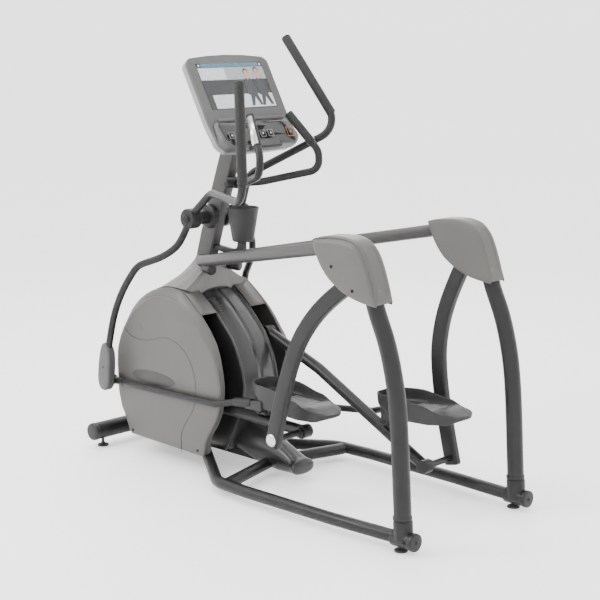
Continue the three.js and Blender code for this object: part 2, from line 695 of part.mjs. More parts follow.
function pedal(side) {
  const { low, floor, rim, heel, front, length } = PEDAL;
  const body = upward(pedalPlan(0), low, rim, 5);
  const well = upward(pedalPlan(7), floor, rim + 20, 5);
  const end = front - length;
  const slope = across(outline([[end - 10, heel - 18], [end + 90, heel + 4], [end + 250, rim - 3], [front - 60, rim + 1],
    [front - 60, rim + 60], [end - 10, rim + 60]]), -120, 120);
  const ramp = across(outline([[end + 2, low + 2], [end + 96, low + 2], [end + 96, floor - 1], [end + 60, heel - 8],
    [end + 2, heel - 20]]), -120, 120);
  const tilt = THREE.MathUtils.degToRad(PEDAL.tilt);
  const shell = join(cut(body, well, slope), common(upward(pedalPlan(3), low + 1, rim, 5), ramp));
  shell.rotateX(tilt).translate(side * BAR_X, 0, -2);
  const cheeks = [[112, 129], [151, 168]].map(([from, to]) => {
    const plate = across(outline([[-26, 64], [12, 66], [14, -6], [6, -13], [-6, -13], [-14, -6]]), side * from, side * to);
    return cut(plate, axle(side * 100, side * 180, 0, 0, 8.8, 16));
  });
  const tongue = box(side * 190, side * 228, -60, 20, 16, 54);
  return join(shell, ...cheeks, tongue);
}

function pedalRod(side) {
  const stations = bent([
    V(side * ROD_X, ROD_LENGTH, 0),
    V(side * ROD_X, 170, 8),
    V(side * 216, 76, 30),
    V(side * 214, 34, 36),
  ], 40, 2);
  const tube = rod(stations, 14);
  const eye = axle(side * (ROD_X - 13), side * (ROD_X + 13), ROD_LENGTH, 0, 22, 16);
  return cut(join(tube, eye), axle(side * 200, side * 270, ROD_LENGTH, 0, 11, 16));
}

// Handle arm, drawn as it stands on the left at rest, from its pivot on the mast.
const LOWER_ARM = [[150, 6, -20], [182, 36, -112], [216, 119, -171], [241, 213, -206], [251, 262, -258],
  [258, 322, -345], [266, 368, -455], [ELBOW_X, 396, -610]];
const UPPER_ARM = [[142, -10, 16], [141, -126, 116], [338, -521, 122], [302, -465, 572]];
const GRIP_START = 0.16;               // along the last straight of the upper arm

function handleRoute(side, points) {
  return points.map(([x, y, z]) => V(side * x, y, z));
}

function elbowPin() {
  return [LEFT_POSE.elbow[0] - HANDLE_PIVOT[0], LEFT_POSE.elbow[1] - HANDLE_PIVOT[1]];
}

function handleArm(side) {
  const lower = rod(smooth(handleRoute(side, LOWER_ARM), 10), 15, 5);
  const upper = rod(bent(handleRoute(side, UPPER_ARM), 70, 3), 16, 5);
  const hub = axle(side * 112, side * 165, 0, 0, 42, 20);
  return cut(join(hub, lower, upper), axle(side * 100, side * 180, 0, 0, 16.8, 20));
}

function handleGrip(side) {
  const [corner, end] = handleRoute(side, UPPER_ARM.slice(-2));
  const foot = corner.clone().lerp(end, GRIP_START);
  const under = corner.clone().lerp(end, 1.002);
  const top = corner.clone().lerp(end, 1.012);
  return join(pipe([foot, top], 19.5, 2.8), rod([under, top], 19.3));
}

function elbowCover(side) {
  const [ey, ez] = elbowPin();
  const shape = outline([[ey - 44, ez + 128], [ey - 6, ez + 172], [ey + 22, ez + 120], [ey + 36, ez + 20],
    [ey + 26, ez - 24], [ey + 2, ez - 38], [ey - 22, ez - 30], [ey - 38, ez + 10]]);
  const shell = across(shape, side * 256, side * 300);
  const stub = axle(side * 253.5, side * 258, ey, ez, 14, 18);
  const arm = rod(smooth(handleRoute(side, LOWER_ARM), 10), 15.8, 5);
  return cut(join(shell, stub), arm);
}

function buildSides() {
  for (const { side, name, at } of SIDES) {
    const link = pivot(machine, `link_pivot_${name}`, LINK_PIVOT, at.link);
    add(link, `suspension_link_${name}`, suspensionLink(side), 'tube');
    add(link, `link_pin_${name}`, linkPin(side), 'steel');
    const bar = pivot(machine, `rear_pin_${name}`, at.pin, at.bar);
    add(bar, `foot_bar_${name}`, footBar(side), 'tube');
    const tread = pivot(machine, `tread_pin_${name}`, at.treadPin, at.tread);
    add(tread, `pedal_${name}`, pedal(side), 'dark');
    add(tread, `pedal_rod_${name}`, pedalRod(side), 'tube');
    const handle = pivot(machine, `handle_pivot_${name}`, HANDLE_PIVOT, at.handle - LEFT_POSE.handle);
    add(handle, `handle_arm_${name}`, handleArm(side), 'tube');
    add(handle, `handle_grip_${name}`, handleGrip(side), 'rubber');
    add(handle, `elbow_cover_${name}`, elbowCover(side), 'cover');
  }
}

buildBase();
buildTowers();
buildHousing();
buildMast();
buildConsole();
buildDrive();
buildSides();

export default machine;
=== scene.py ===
import json
import math

import bmesh
import bpy
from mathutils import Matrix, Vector
from mathutils.kdtree import KDTree


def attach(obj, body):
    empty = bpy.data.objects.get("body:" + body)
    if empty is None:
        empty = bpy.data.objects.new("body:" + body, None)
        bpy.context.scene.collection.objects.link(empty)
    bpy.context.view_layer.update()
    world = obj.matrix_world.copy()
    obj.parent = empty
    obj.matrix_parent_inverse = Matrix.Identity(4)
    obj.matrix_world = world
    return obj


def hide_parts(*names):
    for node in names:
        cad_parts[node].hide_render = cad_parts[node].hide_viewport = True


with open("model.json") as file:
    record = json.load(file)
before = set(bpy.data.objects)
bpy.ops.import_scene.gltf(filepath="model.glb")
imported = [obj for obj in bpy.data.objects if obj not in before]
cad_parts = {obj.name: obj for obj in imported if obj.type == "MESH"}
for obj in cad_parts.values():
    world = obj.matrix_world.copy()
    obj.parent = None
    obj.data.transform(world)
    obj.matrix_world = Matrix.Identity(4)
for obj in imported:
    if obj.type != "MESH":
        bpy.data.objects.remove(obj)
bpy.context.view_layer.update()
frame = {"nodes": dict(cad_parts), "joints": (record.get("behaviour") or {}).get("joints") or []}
cadNodes = frame["nodes"]
joints = {joint["name"]: joint for joint in frame["joints"]}


# turn of a camera or a light that looks from place to target
def facing(place, target):
    return (Vector(target) - Vector(place)).to_track_quat("-Z", "Y").to_euler()


# camera at a standing person's eye level, behind and to the left of the machine
cameraSetup = {"place": (-4.0989, -4.0629, 1.8483), "target": (0, -0.0554, 0.7476), "lens": 87.9}
bpy.ops.object.camera_add(location=cameraSetup["place"])
camera = bpy.context.object
camera.rotation_euler = facing(cameraSetup["place"], cameraSetup["target"])
camera.data.lens = cameraSetup["lens"]
camera.data.sensor_width = 36
bpy.context.scene.camera = camera
print("camera ready")

mm = 0.001
sides = {"left": -1, "right": 1}


def at(x, y, z):
    return Vector((x, y, z)) * mm


def nothingSelected():
    if bpy.context.object and bpy.context.object.mode == "EDIT":
        bpy.ops.object.mode_set(mode="OBJECT")
    bpy.ops.object.select_all(action="DESELECT")


def choose(*pieces):
    nothingSelected()
    for piece in pieces:
        piece.select_set(True)
    bpy.context.view_layer.objects.active = pieces[0]


def startEditing():
    bpy.ops.object.transform_apply(location=True, rotation=True, scale=True)
    bpy.ops.object.mode_set(mode="EDIT")
    bpy.ops.mesh.select_mode(type="VERT")
    bpy.ops.mesh.select_all(action="SELECT")


def pick(kind, test):
    bpy.ops.mesh.select_mode(type={"verts": "VERT", "edges": "EDGE", "faces": "FACE"}[kind])
    bpy.ops.mesh.select_all(action="DESELECT")
    shape = bmesh.from_edit_mesh(bpy.context.object.data)
    for part in getattr(shape, kind):
        part.select_set(bool(test(part)))
    shape.select_flush_mode()
    bmesh.update_edit_mesh(bpy.context.object.data)


def pull(shift):
    bpy.ops.mesh.extrude_region_move(TRANSFORM_OT_translate={"value": tuple(shift)})


def cleanUp():
    bpy.ops.mesh.select_mode(type="VERT")
    bpy.ops.mesh.select_all(action="SELECT")
    bpy.ops.mesh.remove_doubles(threshold=2e-5)
    bpy.ops.mesh.normals_make_consistent(inside=False)


def stopEditing(name, smooth=38):
    bpy.ops.object.mode_set(mode="OBJECT")
    piece = bpy.context.object
    piece.name = piece.data.name = name
    bpy.ops.object.shade_smooth_by_angle(angle=math.radians(smooth))
    return piece


# two-dimensional outline with its corners rounded; a corner may bring its own radius as a third number
def rounded(points, radius, steps=5, closed=True):
    result = []
    count = len(points)
    for i, corner in enumerate(points):
        own = corner[2] if len(corner) > 2 else radius
        here = Vector(corner[:2])
        if (not closed and i in (0, count - 1)) or own <= 0:
            result.append(tuple(here))
            continue
        back = Vector(points[i - 1][:2]) - here
        onward = Vector(points[(i + 1) % count][:2]) - here
        turn = math.pi - back.angle(onward)
        if turn < 0.02:
            result.append(tuple(here))
            continue
        reach = min(own * math.tan(turn / 2), 0.49 * back.length, 0.49 * onward.length)
        own = reach / math.tan(turn / 2)
        middle = here + (back.normalized() + onward.normalized()).normalized() * (own / math.cos(turn / 2))
        first = here + back.normalized() * reach - middle
        last = here + onward.normalized() * reach - middle
        arcSteps = max(2, min(steps, round(turn / 0.12) + 1))
        for step in range(arcSteps + 1):
            t = step / arcSteps
            arm = (first * math.sin((1 - t) * turn) + last * math.sin(t * turn)) / math.sin(turn) \
                if turn < 3.1 else first.lerp(last, t)
            result.append(tuple(middle + arm))
    return result


def oval(x, y, halfX, halfY, count=24):
    return [(x + halfX * math.cos(math.tau * i / count),
             y + halfY * math.sin(math.tau * i / count)) for i in range(count)]


# smooth line through the points, a few stations between each two
def flowing(points, steps=5, closed=False):
    count = len(points)
    get = (lambda i: Vector(points[i % count])) if closed else (
        lambda i: Vector(points[max(0, min(count - 1, i))]))
    result = []
    for i in range(count if closed else count - 1):
        a, b, c, d = get(i - 1), get(i), get(i + 1), get(i + 2)
        for step in range(steps):
            t = step / steps
            result.append(tuple(0.5 * ((2 * b) + (c - a) * t + (2 * a - 5 * b + 4 * c - d) * t * t
                                       + (3 * b - a - 3 * c + d) * t ** 3)))
    if not closed:
        result.append(tuple(points[-1]))
    return result


# one vertex of a primitive, drawn on through the points
def drawLine(points):
    nothingSelected()
    bpy.ops.mesh.primitive_plane_add(size=mm, location=points[0])
    startEditing()
    bpy.ops.mesh.merge(type="CENTER")
    for here, onward in zip(points, points[1:]):
        bpy.ops.mesh.extrude_vertices_move(TRANSFORM_OT_translate={"value": tuple(onward - here)})
    bpy.ops.mesh.select_all(action="SELECT")


# plate drawn in the side view and pulled sideways, or drawn lying and pulled up; soft rounds its rims
def slab(outline, low, high, soft=3, steps=4, softNear=None, lying=False):
    place = (lambda a, b, h: at(a, b, h)) if lying else (lambda a, b, h: at(h, a, b))
    way = 2 if lying else 0
    drawLine([place(a, b, low) for a, b in outline])
    bpy.ops.mesh.edge_face_add()
    pull(place(0, 0, high - low))
    cleanUp()
    for level, size in ((high, soft), (low, soft if softNear is None else softNear)):
        if size:
            pick("edges", lambda edge: all(abs(v.co[way] - level * mm) < 1e-5 for v in edge.verts)
                 and len(edge.link_faces) == 2 and abs(edge.calc_face_angle(0)) > 0.6)
            bpy.ops.mesh.bevel(offset=size * mm, segments=steps, affect="EDGES", clamp_overlap=True)
    cleanUp()


# round body: profile of (along the axis, radius) in millimetres, spun about the axis
def turned(profile, origin, axis, steps=40):
    axis = Vector(axis).normalized()
    out = axis.orthogonal().normalized()
    drawLine([origin + (axis * along + out * radius) * mm for along, radius in profile])
    bpy.ops.mesh.spin(steps=steps, angle=math.tau, center=origin, axis=axis)
    cleanUp()


# bent tube: a ring or a rounded oblong pulled along the legs and spun round each corner
def tube(points, radius, bend=None, sides=28, oblong=None, endSoft=0.0, turnStep=0.13):
    points = [Vector(p) for p in points]
    first = (points[1] - points[0]).normalized()
    nothingSelected()
    if oblong:
        across, deep, corner = oblong
        ring = rounded([(-across, -deep), (across, -deep), (across, deep), (-across, deep)], corner, 5)
        up = first.cross(Vector((1, 0, 0))).normalized()
        sideways = up.cross(first)
        drawLine([points[0] + (sideways * a + up * b) * mm for a, b in ring])
        bpy.ops.mesh.edge_face_add()
        bpy.ops.mesh.delete(type="ONLY_FACE")
        bpy.ops.mesh.select_all(action="SELECT")
    else:
        bpy.ops.mesh.primitive_circle_add(vertices=sides, radius=radius * mm, location=points[0],
                                          rotation=first.to_track_quat("Z", "Y").to_euler())
        startEditing()
    here = points[0]
    for before, corner, after in zip(points, points[1:], points[2:]):
        back, onward = before - corner, after - corner
        turn = math.pi - back.angle(onward)
        if turn < 0.004:
            continue
        longest = 0.5 * min(back.length * (2 if before is points[0] else 1),
                            onward.length * (2 if after is points[-1] else 1)) - 1e-5
        reach = longest if bend is None else min(bend * mm * math.tan(turn / 2), longest)
        start = corner + back.normalized() * reach
        curve = reach / math.tan(turn / 2)
        inward = (back.normalized() + onward.normalized()).normalized()
        middle = corner + inward * (curve / math.cos(turn / 2))
        if (start - here).length > 3e-5:
            pull(start - here)
        bpy.ops.mesh.spin(steps=max(2, round(turn / turnStep)), angle=-turn, center=middle,
                          axis=(-back).cross(onward).normalized())
        here = corner + onward.normalized() * reach
    if (points[-1] - here).length > 3e-5:
        pull(points[-1] - here)
    bpy.ops.mesh.select_all(action="SELECT")
    bpy.ops.mesh.fill_holes(sides=0)
    cleanUp()
    if endSoft:
        pick("faces", lambda face: len(face.verts) > 8)
        bpy.ops.mesh.bevel(offset=endSoft * mm, segments=4, affect="EDGES")
        cleanUp()


# closed outline as rays from its centre meet it, so that rings of different outlines match point for point
def ringAt(outline, centre, count, grow=0.0, scale=1.0):
    ring = []
    for i in range(count):
        angle = math.tau * i / count
        ray = (math.cos(angle), math.sin(angle))
        best = 0.0
        for (ax, ay), (bx, by) in zip(outline, outline[1:] + outline[:1]):
            dx, dy = bx - ax, by - ay
            cross = ray[0] * dy - ray[1] * dx
            if abs(cross) < 1e-12:
                continue
            ox, oy = ax - centre[0], ay - centre[1]
            reach = (ox * dy - oy * dx) / cross
            along = (ox * ray[1] - oy * ray[0]) / cross
            if reach > best and -1e-9 <= along <= 1 + 1e-9:
                best = reach
        reach = (best + grow) * scale
        ring.append((centre[0] + ray[0] * reach, centre[1] + ray[1] * reach))
    return ring


# rings of equal count, each extruded from the one before and moved to its own place
def loft(rings, closeStart=True, closeEnd=True):
    drawLine(rings[0])
    bpy.ops.mesh.edge_face_add()
    bpy.ops.mesh.delete(type="ONLY_FACE")
    bpy.ops.mesh.select_all(action="SELECT")
    for before, ring in zip(rings, rings[1:]):
        bpy.ops.mesh.extrude_region_move()
        finder = KDTree(len(before))
        for i, place in enumerate(before):
            finder.insert(place, i)
        finder.balance()
        data = bpy.context.object.data
        for vert in bmesh.from_edit_mesh(data).verts:
            if vert.select:
                vert.co = ring[finder.find(vert.co)[1]]
        bmesh.update_edit_mesh(data)
    if closeEnd:
        bpy.ops.mesh.edge_face_add()
    if closeStart:
        bpy.ops.mesh.select_all(action="SELECT")
        bpy.ops.mesh.fill_holes(sides=0)
    cleanUp()


def joinPieces(name, parts):
    choose(*parts)
    bpy.ops.object.join()
    whole = bpy.context.object
    whole.name = whole.data.name = name
    return whole


def applyModifier(piece, kind, **settings):
    choose(piece)
    modifier = piece.modifiers.new("shape", kind)
    for key, value in settings.items():
        setattr(modifier, key, value)
    bpy.ops.object.modifier_apply(modifier=modifier.name)
    return piece


def cutAway(piece, tool, operation="DIFFERENCE"):
    applyModifier(piece, "BOOLEAN", object=tool, operation=operation, solver="EXACT")
    bpy.data.objects.remove(tool)
    return piece


def swing(piece, pivot, degrees):
    choose(piece)
    piece.rotation_euler = (math.radians(degrees), 0, 0)
    piece.location = pivot
    bpy.ops.object.transform_apply(location=True, rotation=True, scale=True)
    return piece


def wear(piece, body, nodes, material):
    piece.data.materials.clear()
    piece.data.materials.append(material)
    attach(piece, body)
    if nodes:
        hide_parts(*nodes)
    return piece


# a plain piece that keeps the mesh it came with and gets a new surface
def repaint(node, material):
    cadNodes[node].data.materials.clear()
    cadNodes[node].data.materials.append(material)


def linear(code):
    parts = [int(code[i:i + 2], 16) / 255 for i in (0, 2, 4)]
    return tuple(p / 12.92 if p <= 0.04045 else ((p + 0.055) / 1.055) ** 2.4 for p in parts) + (1.0,)


def addNode(material, kind, settings=None, links=None):
    node = material.node_tree.nodes.new(kind)
    for key, value in (settings or {}).items():
        if isinstance(key, int) or key in node.inputs:
            node.inputs[key].default_value = value
        else:
            setattr(node, key, value)
    for key, (source, output) in (links or {}).items():
        material.node_tree.links.new(source.outputs[output], node.inputs[key])
    return node


def startMaterial(name, **surface):
    material = bpy.data.materials.new(name)
    material.use_nodes = True
    shader = material.node_tree.nodes["Principled BSDF"]
    for key, value in surface.items():
        shader.inputs[key.replace("_", " ")].default_value = value
    place = addNode(material, "ShaderNodeTexCoord")
    return material, shader, place


# colour drifting between two tones over patches of patchSize, and a fine bumpy skin of grainSize, in metres
def giveSkin(material, shader, place, tones, patchSize, grainSize, grainHeight, gloss):
    drift = addNode(material, "ShaderNodeTexNoise", {"Scale": 1 / patchSize, "Detail": 4.0},
                    {"Vector": (place, "Object")})
    colour = addNode(material, "ShaderNodeValToRGB", None, {"Fac": (drift, "Fac")})
    for element, position, code in zip(colour.color_ramp.elements, (0.3, 0.7), tones):
        element.position = position
        element.color = linear(code)
    speckle = addNode(material, "ShaderNodeTexNoise", {"Scale": 1 / grainSize, "Detail": 2.0},
                      {"Vector": (place, "Object")})
    shine = addNode(material, "ShaderNodeMapRange", {"From Min": 0.3, "From Max": 0.7, "To Min": gloss[0],
                                                     "To Max": gloss[1]},
                    {"Value": (drift, "Fac")})
    bumps = addNode(material, "ShaderNodeBump", {"Strength": 0.5, "Distance": grainHeight},
                    {"Height": (speckle, "Fac")})
    tree = material.node_tree
    tree.links.new(colour.outputs["Color"], shader.inputs["Base Color"])
    tree.links.new(shine.outputs["Result"], shader.inputs["Roughness"])
    tree.links.new(bumps.outputs["Normal"], shader.inputs["Normal"])
    return colour, shine, bumps


# black polyester powder coat on steel tube: satin, with a faint orange peel about 3 mm across
blackPowderCoat, shader, place = startMaterial("blackPowderCoat", IOR=1.5, Specular_IOR_Level=0.28)
giveSkin(blackPowderCoat, shader, place, ("161616", "1b1b1b"), 0.09, 0.0032, 0.00012, (0.34, 0.42))

# graphite powder coat on the rails and the mast: a shade lighter and a little duller
graphitePowderCoat, shader, place = startMaterial("graphitePowderCoat", IOR=1.5, Specular_IOR_Level=0.35)
giveSkin(graphitePowderCoat, shader, place, ("343332", "3a3938"), 0.12, 0.0032, 0.00012, (0.38, 0.46))

# moulded ABS covers with a fine spark-eroded skin: the light spreads wide over them. The grit is drawn 1 mm
# coarse to show
mouldedAbs, shader, place = startMaterial("mouldedAbs", IOR=1.54, Specular_IOR_Level=0.4)
giveSkin(mouldedAbs, shader, place, ("4a4846", "504e4b"), 0.16, 0.0012, 0.00010, (0.42, 0.50))

# paler ABS on the front shroud
paleAbs, shader, place = startMaterial("paleAbs", IOR=1.54)
giveSkin(paleAbs, shader, place, ("5a5957", "605e5c"), 0.16, 0.0012, 0.00010, (0.44, 0.52))

# polished black ABS on the centre housing: dark, with long soft reflections
glossAbs, shader, place = startMaterial("glossAbs", IOR=1.54, Specular_IOR_Level=0.45)
giveSkin(glossAbs, shader, place, ("1c1c1c", "212020"), 0.14, 0.0016, 0.00005, (0.27, 0.33))

# glass-filled nylon of the pedals, boots and brackets: dark and matte, with a coarse moulded skin
mouldedNylon, shader, place = startMaterial("mouldedNylon", IOR=1.53, Specular_IOR_Level=0.3)
giveSkin(mouldedNylon, shader, place, ("202020", "262626"), 0.05, 0.0015, 0.00022, (0.44, 0.54))

# soft rubber of the pedal treads, worn a little paler on top
treadRubber, shader, place = startMaterial("treadRubber", IOR=1.52)
giveSkin(treadRubber, shader, place, ("5a5a5a", "6a6a69"), 0.03, 0.0015, 0.0002, (0.45, 0.58))

# grip rubber: matte, with a stipple of about 2 mm
gripRubber, shader, place = startMaterial("gripRubber", IOR=1.52, Specular_IOR_Level=0.25)
giveSkin(gripRubber, shader, place, ("1b1b1b", "212120"), 0.04, 0.002, 0.0003, (0.52, 0.62))

# hard rubber feet
footRubber, shader, place = startMaterial("footRubber", IOR=1.52)
giveSkin(footRubber, shader, place, ("161616", "1d1d1c"), 0.02, 0.0015, 0.0003, (0.6, 0.7))

# turned and polished stainless steel, with fine lathe marks about 0.5 mm apart
turnedSteel, shader, place = startMaterial("turnedSteel", Metallic=1.0)
giveSkin(turnedSteel, shader, place, ("c4c3c0", "d2d1ce"), 0.02, 0.0009, 0.00003, (0.24, 0.34))

# black oxide screws
blackOxide, shader, place = startMaterial("blackOxide", Metallic=0.6)
giveSkin(blackOxide, shader, place, ("141414", "1a1a1a"), 0.01, 0.0008, 0.00008, (0.35, 0.5))

# cast iron flywheel and forged crank: rough and grey
castIron, shader, place = startMaterial("castIron", Metallic=0.8)
giveSkin(castIron, shader, place, ("4a4845", "57544f"), 0.03, 0.0025, 0.0006, (0.5, 0.65))

# ribbed belt
beltRubber, shader, place = startMaterial("beltRubber", IOR=1.52)
giveSkin(beltRubber, shader, place, ("151515", "1b1b1a"), 0.03, 0.002, 0.0003, (0.55, 0.65))

# console housing: ABS with a leather-like moulded grain, drawn 2 mm coarse
consoleAbs, shader, place = startMaterial("consoleAbs", IOR=1.54)
giveSkin(consoleAbs, shader, place, ("3f3f3f", "474746"), 0.08, 0.002, 0.00025, (0.44, 0.52))

# silver-grey painted band along the console's left side
silverPaint, shader, place = startMaterial("silverPaint", IOR=1.5)
giveSkin(silverPaint, shader, place, ("7b7b7b", "878787"), 0.08, 0.0018, 0.0001, (0.36, 0.44))

# gloss black key panel and screen frame
pianoBlack, shader, place = startMaterial("pianoBlack", IOR=1.54)
giveSkin(pianoBlack, shader, place, ("0f0f10", "131314"), 0.06, 0.003, 0.00002, (0.12, 0.18))

# amber polycarbonate stop key
amberPolycarbonate, shader, place = startMaterial("amberPolycarbonate", IOR=1.58)
giveSkin(amberPolycarbonate, shader, place, ("c06a14", "d07a1e"), 0.01, 0.001, 0.00004, (0.25, 0.35))

# printed legends and the flat colours of the display
flatInks = {
    "whiteInk": ("d8d8d8", 0.5), "blueInk": ("3d6478", 0.25), "paleInk": ("b9bcbe", 0.25),
    "midInk": ("8b8e90", 0.25),
    "darkInk": ("1c1d1f", 0.2), "shirtInk": ("2a2c30", 0.3), "skinInk": ("b98a6c", 0.3),
    "hairInk": ("2b1d16", 0.35),
}
inks = {}
for inkName, (code, rough) in flatInks.items():
    ink, shader, place = startMaterial(inkName, IOR=1.5)
    giveSkin(ink, shader, place, (code, code), 0.02, 0.001, 0.00001, (rough, rough + 0.05))
    inks[inkName] = ink
print("materials ready")


# base frame; the stabilizer is given as its place along the machine, height, radius and half length
basePlan = {"tubeRadius": 24, "tubeHeight": 47, "towerX": 333, "stabilizer": (913, 72, 37, 288)}
floorRadius, floorLevel, towerX = basePlan["tubeRadius"], basePlan["tubeHeight"], basePlan["towerX"]
stabY, stabZ, stabRadius, stabHalf = basePlan["stabilizer"]

tube([at(-stabHalf, stabY, stabZ), at(stabHalf, stabY, stabZ)], stabRadius, sides=48, endSoft=1.5)
wear(stopEditing("frontStabilizer"), "frame", ["front_stabilizer"], blackPowderCoat)

repaint("main_spine", blackPowderCoat)
# gusset over the stabilizer joint
slab(rounded([(838, 93), (838, 97), (902, 118), (902, 93)], 2), -42, 42, soft=2, softNear=2)
wear(stopEditing("spineGusset"), "frame", [], blackPowderCoat)

tube([at(-334, 14, floorLevel), at(0, 108, floorLevel), at(334, 14, floorLevel)], floorRadius, bend=110,
     sides=36, endSoft=2)
wear(stopEditing("crossTube"), "frame", ["cross_tube"], blackPowderCoat)


# screw head with a hexagon socket, sunk a little below its rim
def screwHead(name, origin, axis, radius, body, material=None, height=2.2):
    axis = Vector(axis).normalized()
    profile = rounded([(-1.5, 0, 0), (-1.5, radius, 0), (height, radius), (height, radius * 0.55, 0),
                       (height - 1.4, radius * 0.5, 0), (height - 1.4, 0, 0)], 1.1, 4, closed=False)
    turned(profile, origin, axis, 24)
    return wear(stopEditing(name, 30), body, [], material or blackOxide)


def levellingFoot(name, x, y, top, node):
    profile = rounded([(0, 0, 0), (0, 25), (7, 24.6, 3), (11, 13, 3), (12, 9, 0), (17, 9, 1), (17, 6, 0),
                       (top, 6, 0),
                       (top, 0, 0)], 1.5, 4, closed=False)
    turned(profile, at(x, y, 0), (0, 0, 1), 40)
    wear(stopEditing(name, 32), "frame", [node], footRubber)


for side, s in sides.items():
    cap = rounded([(0, 0, 0), (0, 37.5), (14, 38.4, 2), (22, 37, 6), (28, 27, 9), (30, 0, 30)], 2, 7,
                  closed=False)
    turned(cap, at(s * 288.3, stabY, stabZ), (s, 0, 0), 48)
    wear(stopEditing(f"stabilizerCap_{side}"), "frame", [f"stabilizer_cap_{side}"],
         mouldedNylon)

    route = [at(s * x, y, floorLevel) for x, y in
             ((towerX, -846), (350, -560), (358, -120), (350, 60), (51, 470))]
    tube(route, floorRadius, bend=150, sides=36, endSoft=1)
    wear(stopEditing(f"floorTube_{side}"), "frame", [f"floor_tube_{side}"], blackPowderCoat)

    # casting at the rear corner: a sleeve with an upright socket
    sleeveEnd = rounded([(0, 0, 0), (0, 33), (16, 33.6, 3), (19, 31.5, 1.5), (102, 31.5, 3), (104, 26, 0),
                         (104, 0, 0)], 3.5, 5,
                        closed=False)
    turned(sleeveEnd, at(s * towerX, -950, floorLevel), (0, 1, 0), 44)
    sleeve = stopEditing("sleeve")
    socketSide = rounded([(0, 0, 0), (0, 35), (62, 35.5, 2), (70, 33.5, 3), (70, 0, 0)], 2, 5, closed=False)
    turned(socketSide, at(s * towerX, -892, floorLevel), (0, 0.07, 1), 44)
    socket = stopEditing("socket")
    corner = cutAway(sleeve, socket, "UNION")
    applyModifier(corner, "BEVEL", width=0.0022, segments=3, limit_method="ANGLE",
                  angle_limit=math.radians(40))
    choose(corner)
    bpy.ops.object.mode_set(mode="EDIT")
    cleanUp()
    corner = stopEditing(f"towerJoint_{side}", 40)
    wear(corner, "frame", [f"tower_joint_{side}"], blackPowderCoat)
    screwHead(f"jointScrew_{side}", at(s * 364.5, -918, floorLevel), (s, 0, 0), 6.5, "frame")
    screwHead(f"jointRearScrew_{side}", at(s * towerX, -949.6, floorLevel), (0, -1, 0), 8, "frame")

    levellingFoot(f"frontFoot_{side}", s * 252, 913, 36, f"front_foot_{side}")
    levellingFoot(f"rearFoot_{side}", s * towerX, -880, 16, f"rear_foot_{side}")
print("base ready")


# towers: the post's middle line in the side view, from its foot up and over into the cover
postSide = [(-887, 117), (-879, 230), (-868, 400), (-851, 560), (-820, 690), (-791, 770), (-746, 868),
            (-723, 968), (-678, 1032),
            (-600, 1056), (-505, 1046)]

for side, s in sides.items():
    tube([at(s * towerX, y, z) for y, z in flowing(postSide, 2)], 32, sides=44, endSoft=1)
    post = stopEditing(f"towerPost_{side}", 50)
    slab(rounded([(-690, 1026), (-590, 1030), (-618, 930), (-648, 918), (-678, 930)], 12), s * 329, s * 337,
         soft=1.5, softNear=1.5)
    hanger = stopEditing("hanger")
    turned([(0, 0), (0, 12), (66, 12), (66, 0)], at(s * 286, -648, 952), (s, 0, 0), 32)
    hangerPin = stopEditing("hangerPin")
    wear(joinPieces(f"towerPost_{side}", [post, hanger, hangerPin]), "frame", [f"tower_post_{side}"],
         blackPowderCoat)
    collar = rounded([(0, 0, 0), (0, 35), (12, 35), (16, 32.3, 0), (16, 0, 0)], 2, 4, closed=False)
    turned(collar, at(s * towerX, -885.5, 118), (0, 0.05, 1), 44)
    wear(stopEditing(f"postCollar_{side}"), "frame", [], blackPowderCoat)

    tube([at(s * 52, 470, 850), at(s * towerX, -486, 1040)], 25, sides=44, endSoft=2)
    wear(stopEditing(f"sideRail_{side}"), "frame", [f"side_rail_{side}"], graphitePowderCoat)
    # rounded gusset under the rail's front end
    tube([at(s * 80, 372, 826), at(s * 62, 432, 830)], 22, sides=32, endSoft=8)
    wear(stopEditing(f"railGusset_{side}"), "frame", [], blackPowderCoat)

# outline of the tower cover in the side view, from its tip back along the lower edge and home over the top
coverLower = [(-470, 1077), (-484, 1045), (-509, 998), (-535, 964), (-561, 939), (-606, 911), (-643, 894),
              (-694, 879), (-754, 870),
              (-788, 866)]
coverUpper = [(-788, 866), (-779, 905), (-763, 958), (-742, 1013), (-718, 1053), (-683, 1083), (-637, 1096),
              (-590, 1097), (-540, 1093),
              (-500, 1086), (-470, 1077)]
coverOutline = rounded(flowing(coverLower, 4)[:-1] + flowing(coverUpper, 5)[:-1], 5)

# sections across the cover, as (distance out, step in from the outline): one for its top and rear, one for
# its lower edge; rows of grooveRows sink into a groove at the rear
coverAbove = [(281, -30), (281, -6), (282.5, -2.5), (286, 0), (297, 0), (299.5, 0), (320, 0), (341, 0),
              (343.5, 0), (352, 0),
              (358, -0.6), (362, -3), (363.6, -6.5), (362.6, -9), (361.6, -11), (363, -13.5), (367, -16),
              (370.5, -19.5),
              (373, -26), (374, -40)]
coverBelow = [(281, -30), (281, -4), (282, -1.5), (284, 0), (297, 0), (299.5, 0), (320, 0), (341, 0),
              (343.5, 0), (352, 0),
              (360, 0), (366, 0), (369, -0.3), (370.5, -1), (371.5, -2), (372.2, -4), (372.8, -7),
              (373.2, -11), (373.8, -20),
              (374.3, -40)]
coverHeart = (-640, 990)
coverCount = 132
grooveRows = (5, 6, 7)


